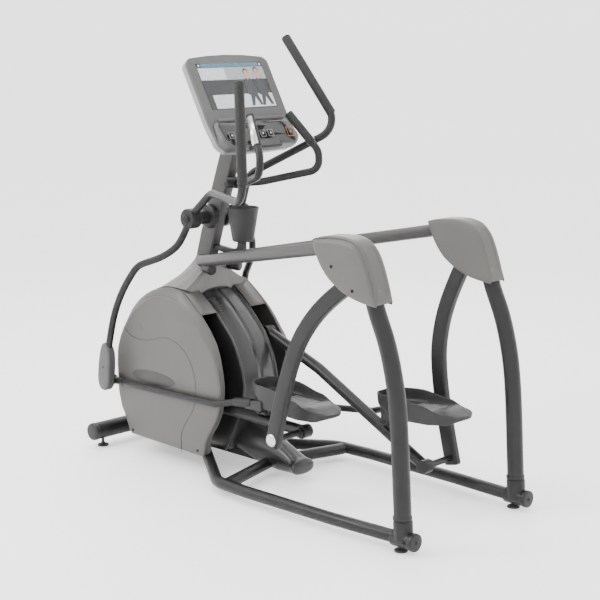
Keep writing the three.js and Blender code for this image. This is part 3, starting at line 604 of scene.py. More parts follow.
def coverRing(s, row):
    (xa, growA), (xb, growB) = coverAbove[row], coverBelow[row]
    ring = []
    for i, (y, z) in enumerate(ringAt(coverOutline, coverHeart, coverCount)):
        angle = math.degrees(math.tau * i / coverCount)  # 0 is forward, 90 is up
        above = max(0.0, min(1.0, (angle - 18) / 16, (222 - angle) / 12))
        sunk = max(0.0, min(1.0, (angle - 132) / 3, (210 - angle) / 3)) if row in grooveRows else 0.0
        grow = growA * above + growB * (1 - above) - 2.6 * sunk
        reach = math.hypot(y - coverHeart[0], z - coverHeart[1])
        y, z = (c + (p - c) * (reach + grow) / reach for c, p in zip(coverHeart, (y, z)))
        ring.append(at(s * (xa * above + xb * (1 - above)), y, z))
    return ring


for side, s in sides.items():
    rings = [coverRing(s, row) for row in range(len(coverAbove))]
    for x, scale in ((374.6, 0.55), (375, 0.25), (375.1, 0.05)):
        rings.append([at(s * x, y, z) for y, z in ringAt(coverOutline, coverHeart, coverCount, 0, scale)])
    inner = [at(s * coverAbove[0][0], y, z) for y, z in ringAt(coverOutline, coverHeart, coverCount, 0, 0.5)]
    loft([inner] + rings)
    # open underneath, where the link and the post go in
    pick("faces",
         lambda face: face.normal.z < -0.3 and abs(face.normal.x) < 0.25
         and face.calc_center_median().y < -0.465)
    bpy.ops.mesh.delete(type="FACE")
    cover = stopEditing(f"towerCover_{side}", 36)
    applyModifier(cover, "SOLIDIFY", thickness=0.0035, offset=-1)
    wear(cover, "frame", [f"tower_cover_{side}"], mouldedAbs)
    for i, (y, z) in enumerate([(-575, 989), (-676, 913)]):
        screwHead(f"coverScrew{i + 1}_{side}", at(s * 376.3, y, z), (s, 0, 0), 6, "frame",
                  height=0.8)
print("towers ready")


# housing: outlines in the side view, all seen from drumCentre
drumCentre = (500, 395)
drumCount = 120
frontEdge = [(764, 72), (797, 148), (822, 187), (839, 253), (844, 320), (843, 407)]
crown = {"middle": (500, 407), "radius": 343}
topArc = [tuple(c + crown["radius"] * turn(math.radians(a)) for c,
                turn in zip(crown["middle"], (math.cos, math.sin)))
          for a in range(12, 97, 7)]
bodyRear = [(431, 725), (381, 692), (331, 652), (286, 608), (244, 563), (216, 521), (195, 477), (178, 430),
            (169, 377), (170, 325),
            (180, 278), (199, 232), (224, 180), (252, 136), (272, 104), (283, 72)]
discRear = [(440, 742), (380, 700), (313, 645), (272, 600), (236, 550), (214, 497), (200, 438), (192, 385),
            (194, 338), (202, 270),
            (232, 208), (262, 170), (280, 135), (283, 72)]
faceOutline = [(763, 78), (798, 151), (821, 187), (840, 253), (843, 317), (846, 380), (841, 447), (822, 500),
               (796, 548), (736, 623),
               (653, 681), (595, 704), (542, 714), (487, 715), (435, 705), (388, 680), (346, 647), (306, 610),
               (274, 570),
               (241, 532), (217, 494), (200, 458), (189, 420), (183, 380), (183, 345), (188, 305), (199, 266),
               (216, 228),
               (238, 193), (258, 165), (276, 133), (282, 105), (283, 69)]
bodyOutline = rounded(frontEdge + topArc + bodyRear, 14)
discOutline = rounded(frontEdge + topArc + discRear, 14)
facePlan = rounded(faceOutline, 12)
faceOut = 221  # how far the middle of the side panel stands from the middle plane
wallOut = 100  # the same for the flat wall of the centre body


def drumRing(outline, x, grow=0.0, scale=1.0):
    return [at(x, y, z) for y, z in ringAt(outline, drumCentre, drumCount, grow, scale)]


for side, s in sides.items():
    # side disc: rim, sloping shoulder, rounded edge, gently crowned face
    rings = [drumRing(discOutline, s * x, grow) for x, grow in ((180.5, -3), (183, -1), (189, 0),
                                                                (193, -1.5))]
    shoulder = ringAt(discOutline, drumCentre, drumCount, -3)
    edge = ringAt(facePlan, drumCentre, drumCount, 0)
    for t, bulge in ((0.25, 1.5), (0.5, 2.0), (0.75, 1.6), (1.0, 0.0)):
        rings.append([at(s * (195 + 17 * t + bulge), a[0] + (b[0] - a[0]) * t, a[1] + (b[1] - a[1]) * t)
                      for a, b in zip(shoulder, edge)])
    rings += [drumRing(facePlan, s * x, grow) for x, grow in
              ((215.2, -1.6), (217.6, -4.5), (219, -9), (219.6, -18), (220.2, -40))]
    rings += [drumRing(facePlan, s * x, 0, scale) for x, scale in ((220.8, 0.6), (faceOut, 0.3),
                                                                   (faceOut, 0.06))]
    loft(rings, closeStart=False)
    disc = stopEditing(f"sideDisc_{side}", 42)
    applyModifier(disc, "SOLIDIFY", thickness=0.003, offset=-1)
    wear(disc, "frame", [f"side_disc_{side}"], mouldedAbs)

    # half of the centre body: barrel, groove, raised ridge beside the slot, flat side wall
    rings = [drumRing(bodyOutline, s * x, grow) for x, grow in
             ((0.15, 3), (18, 2.6), (36, 1.6), (54, 0), (68, -2), (76, -3.4), (81, -5), (83.5, -6),
              (86, -5.5), (88, -3), (90, -0.4),
              (93, 0.6), (97, 0.4), (99.2, -0.8), (wallOut, -3))]
    rings += [drumRing(bodyOutline, s * wallOut, grow, scale) for grow,
              scale in ((-40, 1), (0, 0.45), (0, 0.08))]
    loft(rings, closeStart=False)
    half = stopEditing(f"centreHousing_{side}", 42)
    applyModifier(half, "SOLIDIFY", thickness=0.003, offset=-1)
    turned([(0, 0), (0, 17), (30, 17), (30, 0)], at(s * 85, 503, 398), (s, 0, 0), 32)
    cutAway(half, stopEditing("shaftHole"))
    wear(half, "frame", [f"centre_housing_{side}"], glossAbs)

    # strip between the body and the disc, open at the rear for the foot bar
    route = ringAt(discOutline, drumCentre, drumCount, -1.5)
    strip = [p for p in route[-34:] if p[1] < drumCentre[1] and p[0] > 760]
    strip += [p for p in route[:60] if not (p[0] < 322 and p[1] > drumCentre[1])]
    drawLine([at(s * 99.6, y, z) for y, z in strip])
    pull(at(s * 86, 0, 0))
    cleanUp()
    band = stopEditing(f"podBand_{side}", 42)
    applyModifier(band, "SOLIDIFY", thickness=0.003, offset=-1)
    wear(band, "frame", [f"pod_band_{side}"], mouldedAbs)

    # seams of the access panels: thin grooves drawn as dark threads just proud of the face; their dark colour
    # is painted shade inside the grooves
    seam = [(784, 545), (749, 520), (698, 509), (627, 513), (536, 539), (478, 538), (420, 518), (369, 474),
            (337, 415), (328, 358),
            (331, 312), (349, 257), (389, 203), (419, 151), (425, 103), (421, 62)]
    tube([at(s * faceOut, y, z) for y, z in flowing(seam, 4)], 0.9, sides=8, turnStep=0.5)
    wear(stopEditing(f"panelSeam_{side}"), "frame", [], mouldedNylon)
    for end, y, z in (("Front", 742, 98), ("Rear", 322, 92)):
        screwHead(f"panelScrew{end}_{side}", at(s * (faceOut + 0.5), y, z), (s, 0, 0), 6, "frame",
                  height=0.8)
    turned(rounded([(0, 0, 0), (0, 15), (0.9, 15, 0.4), (1.2, 11, 0.4), (0.6, 9, 0), (0.6, 0, 0)], 0.4, 3,
                   closed=False),
           at(s * faceOut, 683, 558), (s, 0, 0), 36)
    wear(stopEditing(f"panelBoss_{side}"), "frame", [], mouldedAbs)
    # plain oval badge, a little raised
    slab(oval(598, 353, 138, 30, 56), s * 220.6, s * 222.2, soft=0.6, softNear=0)
    wear(stopEditing(f"panelBadge_{side}"), "frame", [], graphitePowderCoat)
print("housing ready")


# mast shroud: a tent pitched from the mast down to a skirt that lies on the drum, hollowed between the two
shroudPlan = {
    "top": [(0, 431, 868), (17, 431, 868), (34, 431, 868), (34, 440, 868), (34, 450, 868), (34, 465, 868),
            (34, 485, 868), (34, 505, 868),
            (34, 522, 868), (0, 522, 868)],
    "skirt": [(0, 432, 742), (55, 434, 736), (102, 439, 713), (142, 433, 735), (176, 433, 748),
              (181, 488, 752), (168, 575, 744),
              (157, 663, 711), (160, 735, 656), (0, 762, 628)],
    "levels": 12, "between": 5,
}
shroudRings = []
for level in range(shroudPlan["levels"] + 1):
    t = level / shroudPlan["levels"]
    half = [Vector((xa + (xb - xa) * t ** 1.6, ya + (yb - ya) * t ** 1.2, za + (zb - za) * t))
            for (xa, ya, za), (xb, yb, zb) in zip(shroudPlan["top"], shroudPlan["skirt"])]
    finer = [a.lerp(b, i / shroudPlan["between"]) for a, b in zip(half, half[1:])
             for i in range(shroudPlan["between"])]
    half = finer + [half[-1]]
    shroudRings.append([at(*p) for p in half] + [at(-x, y, z) for x, y, z in half[-2:0:-1]])
loft(shroudRings)
shroud = stopEditing("mastShroud", 30)
wear(shroud, "frame", ["mast_shroud"], paleAbs)

# tail boot: a drop-shaped skirt that ends in a flared lip
bootSections = [(290, 66, 190, 46), (262, 62, 196, 52), (236, 54, 195, 53), (200, 44, 189, 53),
                (160, 34, 180, 52), (110, 26, 168, 50),
                (60, 22, 152, 48), (20, 22, 134, 46), (-20, 24, 114, 46), (-46, 27, 100, 49),
                (-60, 28, 94, 55), (-68, 28, 92, 60),
                (-75, 30, 88, 60), (-80, 36, 80, 54), (-82, 46, 70, 40)]


def bootRing(y, low, high, half, count=64):
    middle, rise = (low + high) / 2, (high - low) / 2
    ring = []
    for i in range(count):
        angle = math.tau * i / count
        c, d = math.cos(angle), math.sin(angle)
        ring.append(at(half * math.copysign(abs(c) ** 0.8, c), y,
                       middle + rise * math.copysign(abs(d) ** 0.8, d)))
    return ring


loft([bootRing(*section) for section in bootSections])
boot = stopEditing("tailBoot", 50)
wear(boot, "frame", ["tail_boot"], glossAbs)
for side, s in sides.items():
    # thin bead where the shroud's skirt lies on the drum
    bead = [at(s * (x + 1), y, z + 1) for x, y, z in flowing(shroudPlan["skirt"][2:9], 4)]
    tube(bead, 2, sides=10, turnStep=0.4)
    wear(stopEditing(f"shroudBead_{side}"), "frame", [], paleAbs)
print("housing finished")


# mast, bars and cup holder
mastSide = [(700, 92.5), (770, 92.5), (505, 973), (395, 1276), (309.5, 1500), (262, 1414.5), (310, 1281),
            (417, 973)]
slab(mastSide, -25, 25, soft=7, softNear=7, steps=5)
wear(stopEditing("mast"), "frame", ["mast"], graphitePowderCoat)

handlePivot = Vector(joints["handle_swing_left"]["pos_m"])
for side, s in sides.items():
    cap = rounded([(0, 0, 0), (0, 19), (2, 19, 1), (6, 15, 4), (7, 0, 10)], 1.5, 5, closed=False)
    turned(cap, handlePivot + at(s * 165.5, 0, 0), (s, 0, 0), 32)
    wear(stopEditing(f"axleCap_{side}"), "frame", [], blackOxide)
    boss = rounded([(0, 0, 0), (0, 50), (26, 50, 5), (30, 44, 4), (34, 30, 0), (86, 28, 0), (86, 0, 0)], 4, 6,
                   closed=False)
    turned(boss, handlePivot + at(s * 24.6, 0, 0), (s, 0, 0), 44)
    wear(stopEditing(f"mastBoss_{side}"), "frame", [], blackPowderCoat)
repaint("handle_axle", turnedSteel)

barHalf = [(107, 114, 1474), (164, 0, 1327), (167, 1, 1251), (53, 213, 1196)]
barRoute = [at(-x, y, z) for x, y, z in barHalf] + [at(-20, 268, 1190),
                                                    at(20, 268, 1190)] + [at(*p) for p in reversed(barHalf)]
tube(barRoute, 15, bend=62, sides=32, endSoft=3)
bar = stopEditing("handlebar")
stub = rounded([(0, 0, 0), (0, 16), (156, 16), (156, 0, 0)], 5, 5, closed=False)
turned(stub, at(-78, 290, 1190), (1, 0, 0), 32)
stub = stopEditing("stub")
slab(rounded([(262, 1168), (350, 1168), (342, 1212), (262, 1212)], 10), -27, 27, soft=4, softNear=4)
clamp = stopEditing("clamp")
wear(joinPieces("staticHandlebar", [bar, stub, clamp]), "frame", ["static_handlebar"],
     blackPowderCoat)

for side, s in sides.items():
    barEnd, barCorner = (at(s * x, y, z) for x, y, z in barHalf[:2])
    gripTop, gripLow = barEnd.lerp(barCorner, -0.015), barEnd.lerp(barCorner, 0.77)
    tube([gripTop, gripLow], 17.6, sides=36, endSoft=4)
    wear(stopEditing(f"fixedGrip_{side}"), "frame", [], gripRubber)
    along = (gripTop - gripLow).normalized()
    tube([gripLow + along * 0.006, gripTop - along * 0.016], 18.6, sides=40)
    outward = Vector((s, 0.35, 0)).normalized()
    pick("faces", lambda face: len(face.verts) > 8 or face.normal.dot(outward) < 0.1)
    bpy.ops.mesh.delete(type="FACE")
    plate = stopEditing(f"pulsePlate_{side}", 60)
    applyModifier(plate, "SOLIDIFY", thickness=0.0012, offset=-1)
    wear(plate, "frame", [f"pulse_plate_{side}"], turnedSteel)

cupWall = rounded([(0, 0, 0), (0, 40), (8, 45, 6), (128, 64), (138, 66.5), (142, 66, 2), (140, 61.5, 2),
                   (128, 60.5), (10, 40.5, 6),
                   (6, 30), (5, 0, 0)], 3, 5, closed=False)
turned(cupWall, at(0, 272, 950), (0, 0, 1), 56)
cup = stopEditing("cup")
slab(rounded([(262, 954), (262, 905), (290, 888), (330, 888), (452, 900), (446, 922), (330, 912), (300, 920),
              (292, 954)], 9),
     -12, 12, soft=3, softNear=3)
stem = stopEditing("stem")
slab(rounded([(318, 1040), (336, 1042), (344, 1096), (330, 1096)], 5), -17, 17, soft=3, softNear=3)
tab = stopEditing("tab")
wear(joinPieces("cupHolder", [cup, stem, tab]), "frame", ["cup_holder"], mouldedNylon)
print("mast ready")


# console, drawn lying flat and then stood up at its foot
consolePlace = {"foot": (0, 175.7, 1357), "turn": 60.9}
consoleEdge = [(-182, -24), (-60, -30), (60, -30), (182, -24), (212, 8), (224, 100), (224, 366), (204, 387),
               (100, 397), (0, 400),
               (-100, 397), (-204, 387), (-224, 366), (-224, 100), (-212, 8)]


def ontoConsole(name, body, nodes, material, smooth=34):
    piece = swing(stopEditing(name, smooth), at(*consolePlace["foot"]), consolePlace["turn"])
    return wear(piece, body, nodes, material)


def grown(outline, step, centre=(0, 190)):
    return [(x + step * (1 if x > centre[0] else -1 if x < centre[0] else 0),
             y + step * (1 if y > centre[1] else -1)) for x, y in outline]


slab(rounded(consoleEdge, 26, 7), -13, 0, soft=4, softNear=1.5, lying=True)
ontoConsole("consoleFace", "frame", ["console_housing"], consoleAbs)
slab(rounded(grown(consoleEdge, -2), 26, 7), -46, -13.2, soft=1, softNear=14, steps=6, lying=True)
ontoConsole("consoleBack", "frame", [], silverPaint)
slab(rounded([(-60, 30), (60, 30), (60, 200), (-60, 200)], 20), -58, -45, soft=1, softNear=4, lying=True)
ontoConsole("consoleMount", "frame", [], consoleAbs)


def flatPatch(name, outline, height, material, thick=0.35, body="frame", nodes=()):
    slab(outline, height, height + thick, soft=0, softNear=0, lying=True)
    ontoConsole(name, body, list(nodes), material)


def patchBox(left, low, right, high, corner=0.0):
    outline = [(left, low), (right, low), (right, high), (left, high)]
    return rounded(outline, corner, 4) if corner else outline


flatPatch("screenGlass", patchBox(-181, 157, 181, 361, 3), -1.5, pianoBlack, 2.2, nodes=["console_screen"])
flatPatch("screenBar", patchBox(-158, 343, 158, 360), 0.7, inks["blueInk"])
flatPatch("screenPanelTop", patchBox(-180, 285, 178, 341), 0.7, inks["midInk"])
flatPatch("screenPanelGlow", patchBox(-178, 288, -40, 338), 1.0, inks["paleInk"])
flatPatch("screenPanelLow", patchBox(-150, 160, 178, 220), 0.7, inks["paleInk"])
flatPatch("screenPanelMid", patchBox(-180, 222, 178, 283), 0.7, inks["darkInk"])
for i, x in enumerate((-168, 168)):
    flatPatch(f"screenIcon{i + 1}", oval(x, 351, 4.5, 4.5), 0.7, inks["whiteInk"])
# two riders, drawn as plain figures of nobody in particular
for i, (x, headZ) in enumerate(((72, 312), (132, 318))):
    flatPatch(f"riderLegs{i + 1}", [(x - 26, 166), (x - 12, 166), (x + 6, 206), (x + 22, 168), (x + 36, 168),
                                    (x + 22, 226), (x - 12, 226)],
              1.0, inks["shirtInk"])
    flatPatch(f"riderBody{i + 1}", rounded([(x - 27, 214), (x + 27, 214), (x + 29, 262), (x + 11, 290),
                                            (x - 11, 290), (x - 29, 262)], 8),
              1.35, inks["shirtInk"])
    flatPatch(f"riderNeck{i + 1}", patchBox(x - 5, 284, x + 5, headZ - 12), 1.4, inks["skinInk"])
    flatPatch(f"riderHair{i + 1}", oval(x, headZ + 4, 14, 17), 1.4, inks["hairInk"])
    flatPatch(f"riderHead{i + 1}", oval(x, headZ - 1, 11, 14.5), 1.8, inks["skinInk"])
    for j, dx in enumerate((-4, 4)):
        flatPatch(f"riderEye{i + 1}_{j + 1}", oval(x + dx, headZ, 1.3, 0.8, 10), 2.2, inks["hairInk"])
    flatPatch(f"riderMouth{i + 1}", oval(x, headZ - 7.5, 2.8, 0.6, 10), 2.2, inks["hairInk"])

# key block: a wedge that stands out at the bottom, its panel sunk a little in a frame
keyBlock = {"foot": [(-182, -26), (182, -26), (212, 8), (207, 100), (-207, 100), (-212, 8)], "keyRow": 27}


# ring of the block: its step in from the foot's outline, its height at the bottom edge and at the top edge
def blockRing(inset, lowLift, highLift, count=88):
    ring = []
    for x, y in ringAt(rounded(keyBlock["foot"], 16, 5), (0, 40), count, -inset):
        t = max(0.0, min(1.0, (y + 26) / 126))
        ring.append(at(x, y, lowLift + (highLift - lowLift) * t))
    return ring


loft([blockRing(*row) for row in ((0, -6, -6), (0, 22, 2), (3, 33, 9), (7, 38.5, 12), (11, 40, 13),
                                  (14, 38.6, 12),
                                  (16, 35, 11.4), (60, 35, 13))])
ontoConsole("keyBlock", "frame", [], consoleAbs, 50)
loft([blockRing(*row) for row in ((17, 34.6, 11.2), (17.2, 36, 12.6), (19, 36.6, 13.2), (70, 36.6, 19))])
ontoConsole("keypad", "frame", ["console_keypad"], pianoBlack, 50)
slab(rounded([(-182, 98), (182, 98), (176, 112), (-176, 112)], 4), -1, 16, soft=5, softNear=0, lying=True)
ontoConsole("keypadLip", "frame", [], consoleAbs)
slab(rounded([(-84, -36), (84, -36), (86, 4), (-86, 4)], 7), 20, 43, soft=6, softNear=0, lying=True)
ontoConsole("consoleTray", "frame", [], mouldedNylon)
slab(rounded([(-74, -28), (74, -28), (76, -2), (-76, -2)], 5), 42.8, 43.6, soft=0, softNear=0, lying=True)
ontoConsole("consoleTrayPad", "frame", [], consoleAbs)

keys = {"stop": 162, "level": -164, "start": 6, "menu": 48}  # places across the block
for name, x in keys.items():
    row = keyBlock["keyRow"]
    slab(rounded([(x - 11, row - 11), (x + 11, row - 11), (x + 11, row + 11), (x - 11, row + 11)], 3), 28,
         37.6, soft=1.2, softNear=0,
         lying=True)
    ontoConsole(f"{name}Key", f"{name}_key", [f"{name}_button"], pianoBlack)
    ink = amberPolycarbonate if name == "stop" else inks["whiteInk"]
    flatPatch(f"{name}KeyDot", oval(x, row, 3.4, 3.4), 37.6, ink, 0.4, f"{name}_key")
    half = 20 if name == "stop" else 14
    tube([at(x, row + half, 37.2), at(x + half, row + half, 37.2), at(x + half, row - half, 37.2),
          at(x - half, row - half, 37.2),
          at(x - half, row + half, 37.2), at(x, row + half, 37.2)], 0.7, bend=3, sides=8, turnStep=0.4)
    ontoConsole(f"{name}KeyOutline", "frame", [],
                amberPolycarbonate if name == "stop" else inks["midInk"])
print("console ready")


# the drive, hidden in the housing
for node, material in (("crank", castIron), ("flywheel", castIron),
                       ("drive_pulley", mouldedNylon), ("drive_belt", beltRubber)):
    repaint(node, material)
print("drive ready")


# points of a side view, turned about a pivot and put at x across the machine
def across(pivot, degrees, x, points):
    turn = math.radians(degrees)
    return [Vector((x * mm, pivot[1] + (y * math.cos(turn) - z * math.sin(turn)) * mm,
                    pivot[2] + (y * math.sin(turn) + z * math.cos(turn)) * mm)) for y, z in points]


# turns of the links of each side at rest, in degrees up from straight ahead, or forward from hanging
restTurns = {
    "left": {"link": 32.1985, "bar": -1.3151, "tread": -0.2939, "handle": 0.0},
    "right": {"link": 3.6640, "bar": 25.1487, "tread": -6.2210, "handle": -30.4435},
}
linkCurve = [(-5, 22), (0, 0), (46, -110), (88, -240), (103, -390), (78, -545), (38, -690), (0, -809),
             (-8.5, -837)]
gripSplit = 0.16


def pedalRise(y, table):
    for (ya, za), (yb, zb) in zip(table, table[1:]):
        if yb <= y <= ya:
            t = (ya - y) / (ya - yb)
            t = t * t * (3 - 2 * t)
            return za + (zb - za) * t
    return table[0][1] if y > table[0][0] else table[-1][1]


pedalPlan = {
    "outline": [(-36, 18), (36, 18), (64, -8), (80, -50), (85, -120), (83, -255), (76, -338), (52, -380),
                (0, -394), (-52, -380),
                (-76, -338), (-83, -255), (-85, -120), (-80, -50), (-64, -8)],
    "rim": [(20, 126), (-110, 126), (-240, 108), (-330, 84), (-390, 76)],
    "floor": [(20, 76), (-150, 78), (-250, 84), (-296, 95), (-322, 95), (-390, 77)],
    "under": [(20, 76), (-30, 74), (-84, 37), (-250, 37), (-340, 44), (-394, 60)],
    "ribs": {"count": 8, "first": -140, "step": 17, "half": 60},
    "wall": [(18, 0), (9, 0), (5, 0.08), (2.5, 0.3), (1.2, 0.6), (0.4, 0.9), (0, 0.97), (0.6, 1.02),
             (2.2, 1.035),
             (4, 1.02), (4.8, 0.96)],  # outer wall as (step in, share of the way up to the rim)
    "lining": [(6, 0.6), (7.5, 0.25), (10, 0.06), (15, 0)],  # inner wall in the same way
    "place": (140, 0, -2), "tilt": 3.3,
}
pedalShape = flowing(pedalPlan["outline"], 4, closed=True)
pedalHeart = (0, -170)


def pedalRing(inset, high, scale=1.0, count=96):
    ring = []
    for x, y in ringAt(pedalShape, pedalHeart, count, -inset, scale):
        ring.append(at(x, y, high(y)))
    return ring


for side, s in sides.items():
    turns = restTurns[side]
    hang = Vector(joints[f"link_swing_{side}"]["pos_m"])
    rear = Vector(joints[f"bar_hinge_{side}"]["pos_m"])
    tread = Vector(joints[f"pedal_hinge_{side}"]["pos_m"])

    # suspension link: curved oblong tube with rounded corners
    tube(across(hang, turns["link"], s * 306, flowing(linkCurve, 2)), 0, oblong=(17, 31, 8), endSoft=7,
         turnStep=0.06)
    wear(stopEditing(f"suspensionLink_{side}", 40), f"link_{side}", [f"suspension_link_{side}"],
         blackPowderCoat)
    rod = rounded([(0, 0, 0), (0, 13), (46, 13), (46, 20), (57, 20), (57, 13), (204, 13), (204, 0, 0)], 1.2,
                  3, closed=False)
    turned(rod, rear + at(s * 119, 0, 0), (s, 0, 0), 32)
    wear(stopEditing(f"linkRod_{side}"), f"link_{side}", [], blackPowderCoat)
    cap = rounded([(0, 0, 0), (0, 25), (2.5, 25, 1.5), (6, 19, 14), (8.4, 7, 20), (8.6, 0, 0)], 3, 7,
                  closed=False)
    turned(cap, rear + at(s * 323.2, 0, 0), (s, 0, 0), 44)
    wear(stopEditing(f"linkPinCap_{side}"), f"link_{side}", [f"link_pin_{side}"], turnedSteel)

    # foot bar: round tube between two cross sleeves, with the pedal's lug on it
    route = across(rear, turns["bar"], s * 140, [(0, 0), (640, 24), (955, 0)])
    tube(route, 23, bend=150, sides=40)
    barTube = stopEditing("barTube")
    sleeve = rounded([(0, 0, 0), (0, 27), (47, 27), (47, 0, 0)], 3, 4, closed=False)
    turned(sleeve, rear + at(s * 116.5, 0, 0), (s, 0, 0), 40)
    rearSleeve = stopEditing("rearSleeve")
    turned(sleeve, route[-1] + at(-s * 23.5, 0, 0), (s, 0, 0), 40)
    frontSleeve = stopEditing("frontSleeve")
    lug = [(p.y / mm, p.z / mm) for p in across(rear, turns["bar"], 0,
                                                rounded([(195, 6), (275, 8), (248, 62), (222, 62)], 9))]
    slab(lug, s * 131, s * 149, soft=2, softNear=2)
    lug = stopEditing("lug")
    turned(rounded([(0, 0, 0), (0, 9), (62, 9), (62, 0, 0)], 1.5, 3, closed=False), tread + at(s * 109, 0, 0),
           (s, 0, 0), 24)
    lugPin = stopEditing("lugPin")
    wear(joinPieces(f"footBar_{side}", [barTube, rearSleeve, frontSleeve, lug, lugPin]), f"bar_{side}",
         [f"foot_bar_{side}"],
         blackPowderCoat)

    # pedal: outer wall, thin rolled rim, inner wall, floor rising to a crowned heel
    rim = lambda y: pedalRise(y, pedalPlan["rim"])
    under = lambda y: pedalRise(y, pedalPlan["under"])
    deck = lambda y: pedalRise(y, pedalPlan["floor"])
    mix = lambda low, high, t: (lambda y: low(y) + (high(y) - low(y)) * t)
    lower = lambda y: min(deck(y), rim(y) + 3)
    rings = [pedalRing(0, under, 0.5)]
    rings += [pedalRing(inset, mix(under, rim, share)) for inset, share in pedalPlan["wall"]]
    rings += [pedalRing(inset, mix(lower, rim, share)) for inset, share in pedalPlan["lining"]]
    rings += [pedalRing(15, deck, scale) for scale in (0.88, 0.72, 0.54, 0.34, 0.14)]
    loft(rings)
    middleX, middleY, middleZ = pedalPlan["place"]
    pedalPlace = at(s * middleX, middleY, middleZ)
    pedal = swing(stopEditing(f"pedal_{side}", 44), Vector((0, 0, 0)), pedalPlan["tilt"])
    pedal.location = pedalPlace
    bpy.ops.object.transform_apply(location=True, rotation=True, scale=True)
    cheeks = []
    for low, high in ((112, 129), (151, 168)):
        slab(rounded([(-26, 62), (12, 64), (14, -6), (6, -13), (-6, -13), (-14, -6)], 6), s * low, s * high,
             soft=2, softNear=2)
        cheeks.append(stopEditing("cheek"))
    slab(rounded([(-84, 20), (10, 16), (16, 50), (-84, 62)], 8), s * 188, s * 228, soft=6, softNear=6)
    socket = stopEditing("socket")
    pedal = joinPieces(f"pedal_{side}", [pedal, socket] + cheeks)
    swing(pedal, tread, turns["tread"])
    wear(pedal, f"tread_{side}", [f"pedal_{side}"], mouldedNylon)
    ribs = []
    ribPlan = pedalPlan["ribs"]
    for i in range(ribPlan["count"]):
        y = ribPlan["first"] - i * ribPlan["step"]
        half = ribPlan["half"] - max(0, i - 4) * 2  # the last ones are shorter
        high = deck(y)
        slab(rounded([(-half, y - 4), (half, y - 4), (half, y + 4), (-half, y + 4)], 3.6), high - 1,
             high + 3.4, soft=2, softNear=0, lying=True)
        ribs.append(stopEditing("rib"))
    treadRibs = joinPieces(f"treadRibs_{side}", ribs)
    swing(treadRibs, pedalPlace, pedalPlan["tilt"])
    swing(treadRibs, tread, turns["tread"])
    wear(treadRibs, f"tread_{side}", [], treadRubber)

    # pedal rod
    legs = [(239, 827, 0), (239, 170, 8), (216, 76, 30), (213, -20, 42)]
    route = [across(tread, turns["tread"], s * x, [(y, z)])[0] for x, y, z in legs]
    tube(route, 14, bend=60, sides=32)
    rodTube = stopEditing("rodTube")
    tube([route[0], route[0] + (route[1] - route[0]).normalized() * 0.075], 16, sides=32, endSoft=1.5)
    collar = stopEditing("collar")
    tube([route[2], route[3]], 19, sides=36, endSoft=2)
    boot = stopEditing("boot")
    turned(rounded([(0, 0, 0), (0, 22), (26, 22), (26, 0, 0)], 3, 4, closed=False),
           route[0] + at(-s * 13, 0, 0), (s, 0, 0), 32)
    eye = stopEditing("eye")
    wear(joinPieces(f"pedalRod_{side}", [rodTube, collar, boot, eye]), f"tread_{side}", [f"pedal_rod_{side}"],
         blackPowderCoat)
    screwHead(f"rodScrew_{side}", route[0] + (route[1] - route[0]).normalized() * 0.055 + at(s * 15, 0, 0),
              (s, 0, 0), 5,
              f"tread_{side}", height=1.6)

    # handle: lower arm, hub and upper arm, then the grip and the elbow cover
    lean = turns["handle"]
    place = lambda x, y, z: across(handlePivot, lean, s * x, [(y, z)])[0]
    lowerArm = [(150, 6, -20), (182, 36, -112), (216, 119, -171), (241, 213, -206), (251, 262, -258),
                (258, 322, -345),
                (266, 368, -455), (278, 396, -610)]
    tube([place(*p) for p in flowing(lowerArm, 2)], 15, sides=32)
    lowerTube = stopEditing("lowerTube")
    upperArm = [(142, -10, 16), (141, -126, 116), (338, -521, 122), (302, -465, 572)]
    tube([place(*p) for p in upperArm], 16, bend=78, sides=32)
    upperTube = stopEditing("upperTube")
    hub = rounded([(0, 0, 0), (0, 42), (53, 42), (53, 0, 0)], 6, 5, closed=False)
    turned(hub, handlePivot + at(s * 112, 0, 0), (s, 0, 0), 44)
    hub = stopEditing("hub")
    wear(joinPieces(f"handleArm_{side}", [lowerTube, upperTube, hub]), f"handle_{side}",
         [f"handle_arm_{side}"],
         blackPowderCoat)
    corner, top = Vector(upperArm[-2]), Vector(upperArm[-1])
    foot = corner.lerp(top, gripSplit)
    end = corner.lerp(top, 1.012)
    grip = [place(*foot), place(*end)]
    tube(grip, 19.5, sides=40, endSoft=6)
    gripBody = stopEditing("gripBody")
    along = (grip[1] - grip[0]).normalized()
    turned(rounded([(0, 0, 0), (0, 20.4), (7, 20.4), (7, 0, 0)], 2.5, 4, closed=False),
           grip[0] - along * 0.002, along, 40)
    ringA = stopEditing("ringA")
    turned(rounded([(0, 0, 0), (0, 20.2), (5, 20.2), (5, 0, 0)], 2, 4, closed=False), grip[1] - along * 0.030,
           along, 40)
    ringB = stopEditing("ringB")
    wear(joinPieces(f"handleGrip_{side}", [gripBody, ringA, ringB]), f"handle_{side}",
         [f"handle_grip_{side}"], gripRubber)

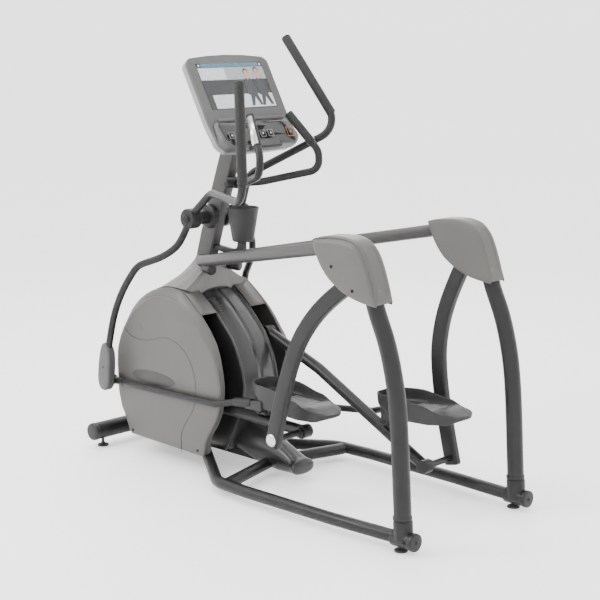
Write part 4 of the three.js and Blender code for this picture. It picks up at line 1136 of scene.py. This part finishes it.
    elbow = (412, -734)
    shape = flowing([(elbow[0] + y, elbow[1] + z) for y, z in
                     [(-44, 128), (-6, 172), (20, 122), (36, 20), (26, -24), (2, -38), (-22, -30),
                      (-38, 10)]], 4, closed=True)
    shape = [(p.y / mm, p.z / mm) for p in across(handlePivot, lean, 0, shape)]
    slab(shape, s * 257, s * 300, soft=11, softNear=9, steps=6)
    wear(stopEditing(f"elbowCover_{side}", 60), f"handle_{side}", [f"elbow_cover_{side}"],
         consoleAbs)
    screwHead(f"elbowScrew_{side}", place(300, elbow[0] - 8, elbow[1] + 66), (s, 0, 0), 5, f"handle_{side}",
              height=0.8)
    turned(rounded([(0, 0, 0), (0, 21), (30, 21), (30, 0, 0)], 5, 5, closed=False),
           place(252, elbow[0], elbow[1] - 12), (s, 0, 0), 36)
    wear(stopEditing(f"elbowBoss_{side}"), f"handle_{side}", [], blackPowderCoat)
print("moving side ready")


# room: a round pale floor whose rim sweeps up, given as (radius, height) in metres
roomPlan = {"floorColour": "f6f6f6", "floorGlow": 0.5, "skyStrength": 0.25, "sides": 96}
bpy.ops.object.select_all(action="DESELECT")
sweep = [(0.5, -0.0006), (6, -0.0006), (9, -0.0006), (10.4, 0.25), (11.4, 1.0), (12.0, 2.4), (12.2, 4.5),
         (12.2, 9.0)]
loft([[Vector((x, y, height)) for x, y in oval(0, 0, radius, radius, roomPlan["sides"])]
      for radius, height in sweep], closeEnd=False)
floor = stopEditing("floor", 60)
paleFloor, shader, place = startMaterial("paleFloor", Roughness=0.55)
shader.inputs["Base Color"].default_value = linear(roomPlan["floorColour"])
shader.inputs["Emission Color"].default_value = linear("ffffff")
shader.inputs["Emission Strength"].default_value = roomPlan["floorGlow"]
floor.data.materials.append(paleFloor)

world = bpy.data.worlds.new("studio")
bpy.context.scene.world = world
world.use_nodes = True
world.node_tree.nodes["Background"].inputs["Color"].default_value = linear("ffffff")
world.node_tree.nodes["Background"].inputs["Strength"].default_value = roomPlan["skyStrength"]

# soft boxes, each with its place, its target, its size in metres and its power in watts
softBoxes = {
    "keyBox": ((-2.9, 1.5, 2.9), (-0.1, 0.2, 0.55), 1.5, 95),
    "topBox": ((-0.3, 0.6, 4.2), (0, 0.0, 0.6), 1.6, 75),
    "rimBox": ((3.2, 2.6, 2.6), (0, 0, 0.8), 1.6, 40),
}
for name, (place, target, size, power) in softBoxes.items():
    bpy.ops.object.light_add(type="AREA", location=place)
    box = bpy.context.object
    box.name = name
    box.rotation_euler = facing(place, target)
    box.data.size = size
    box.data.energy = power
print("room ready")
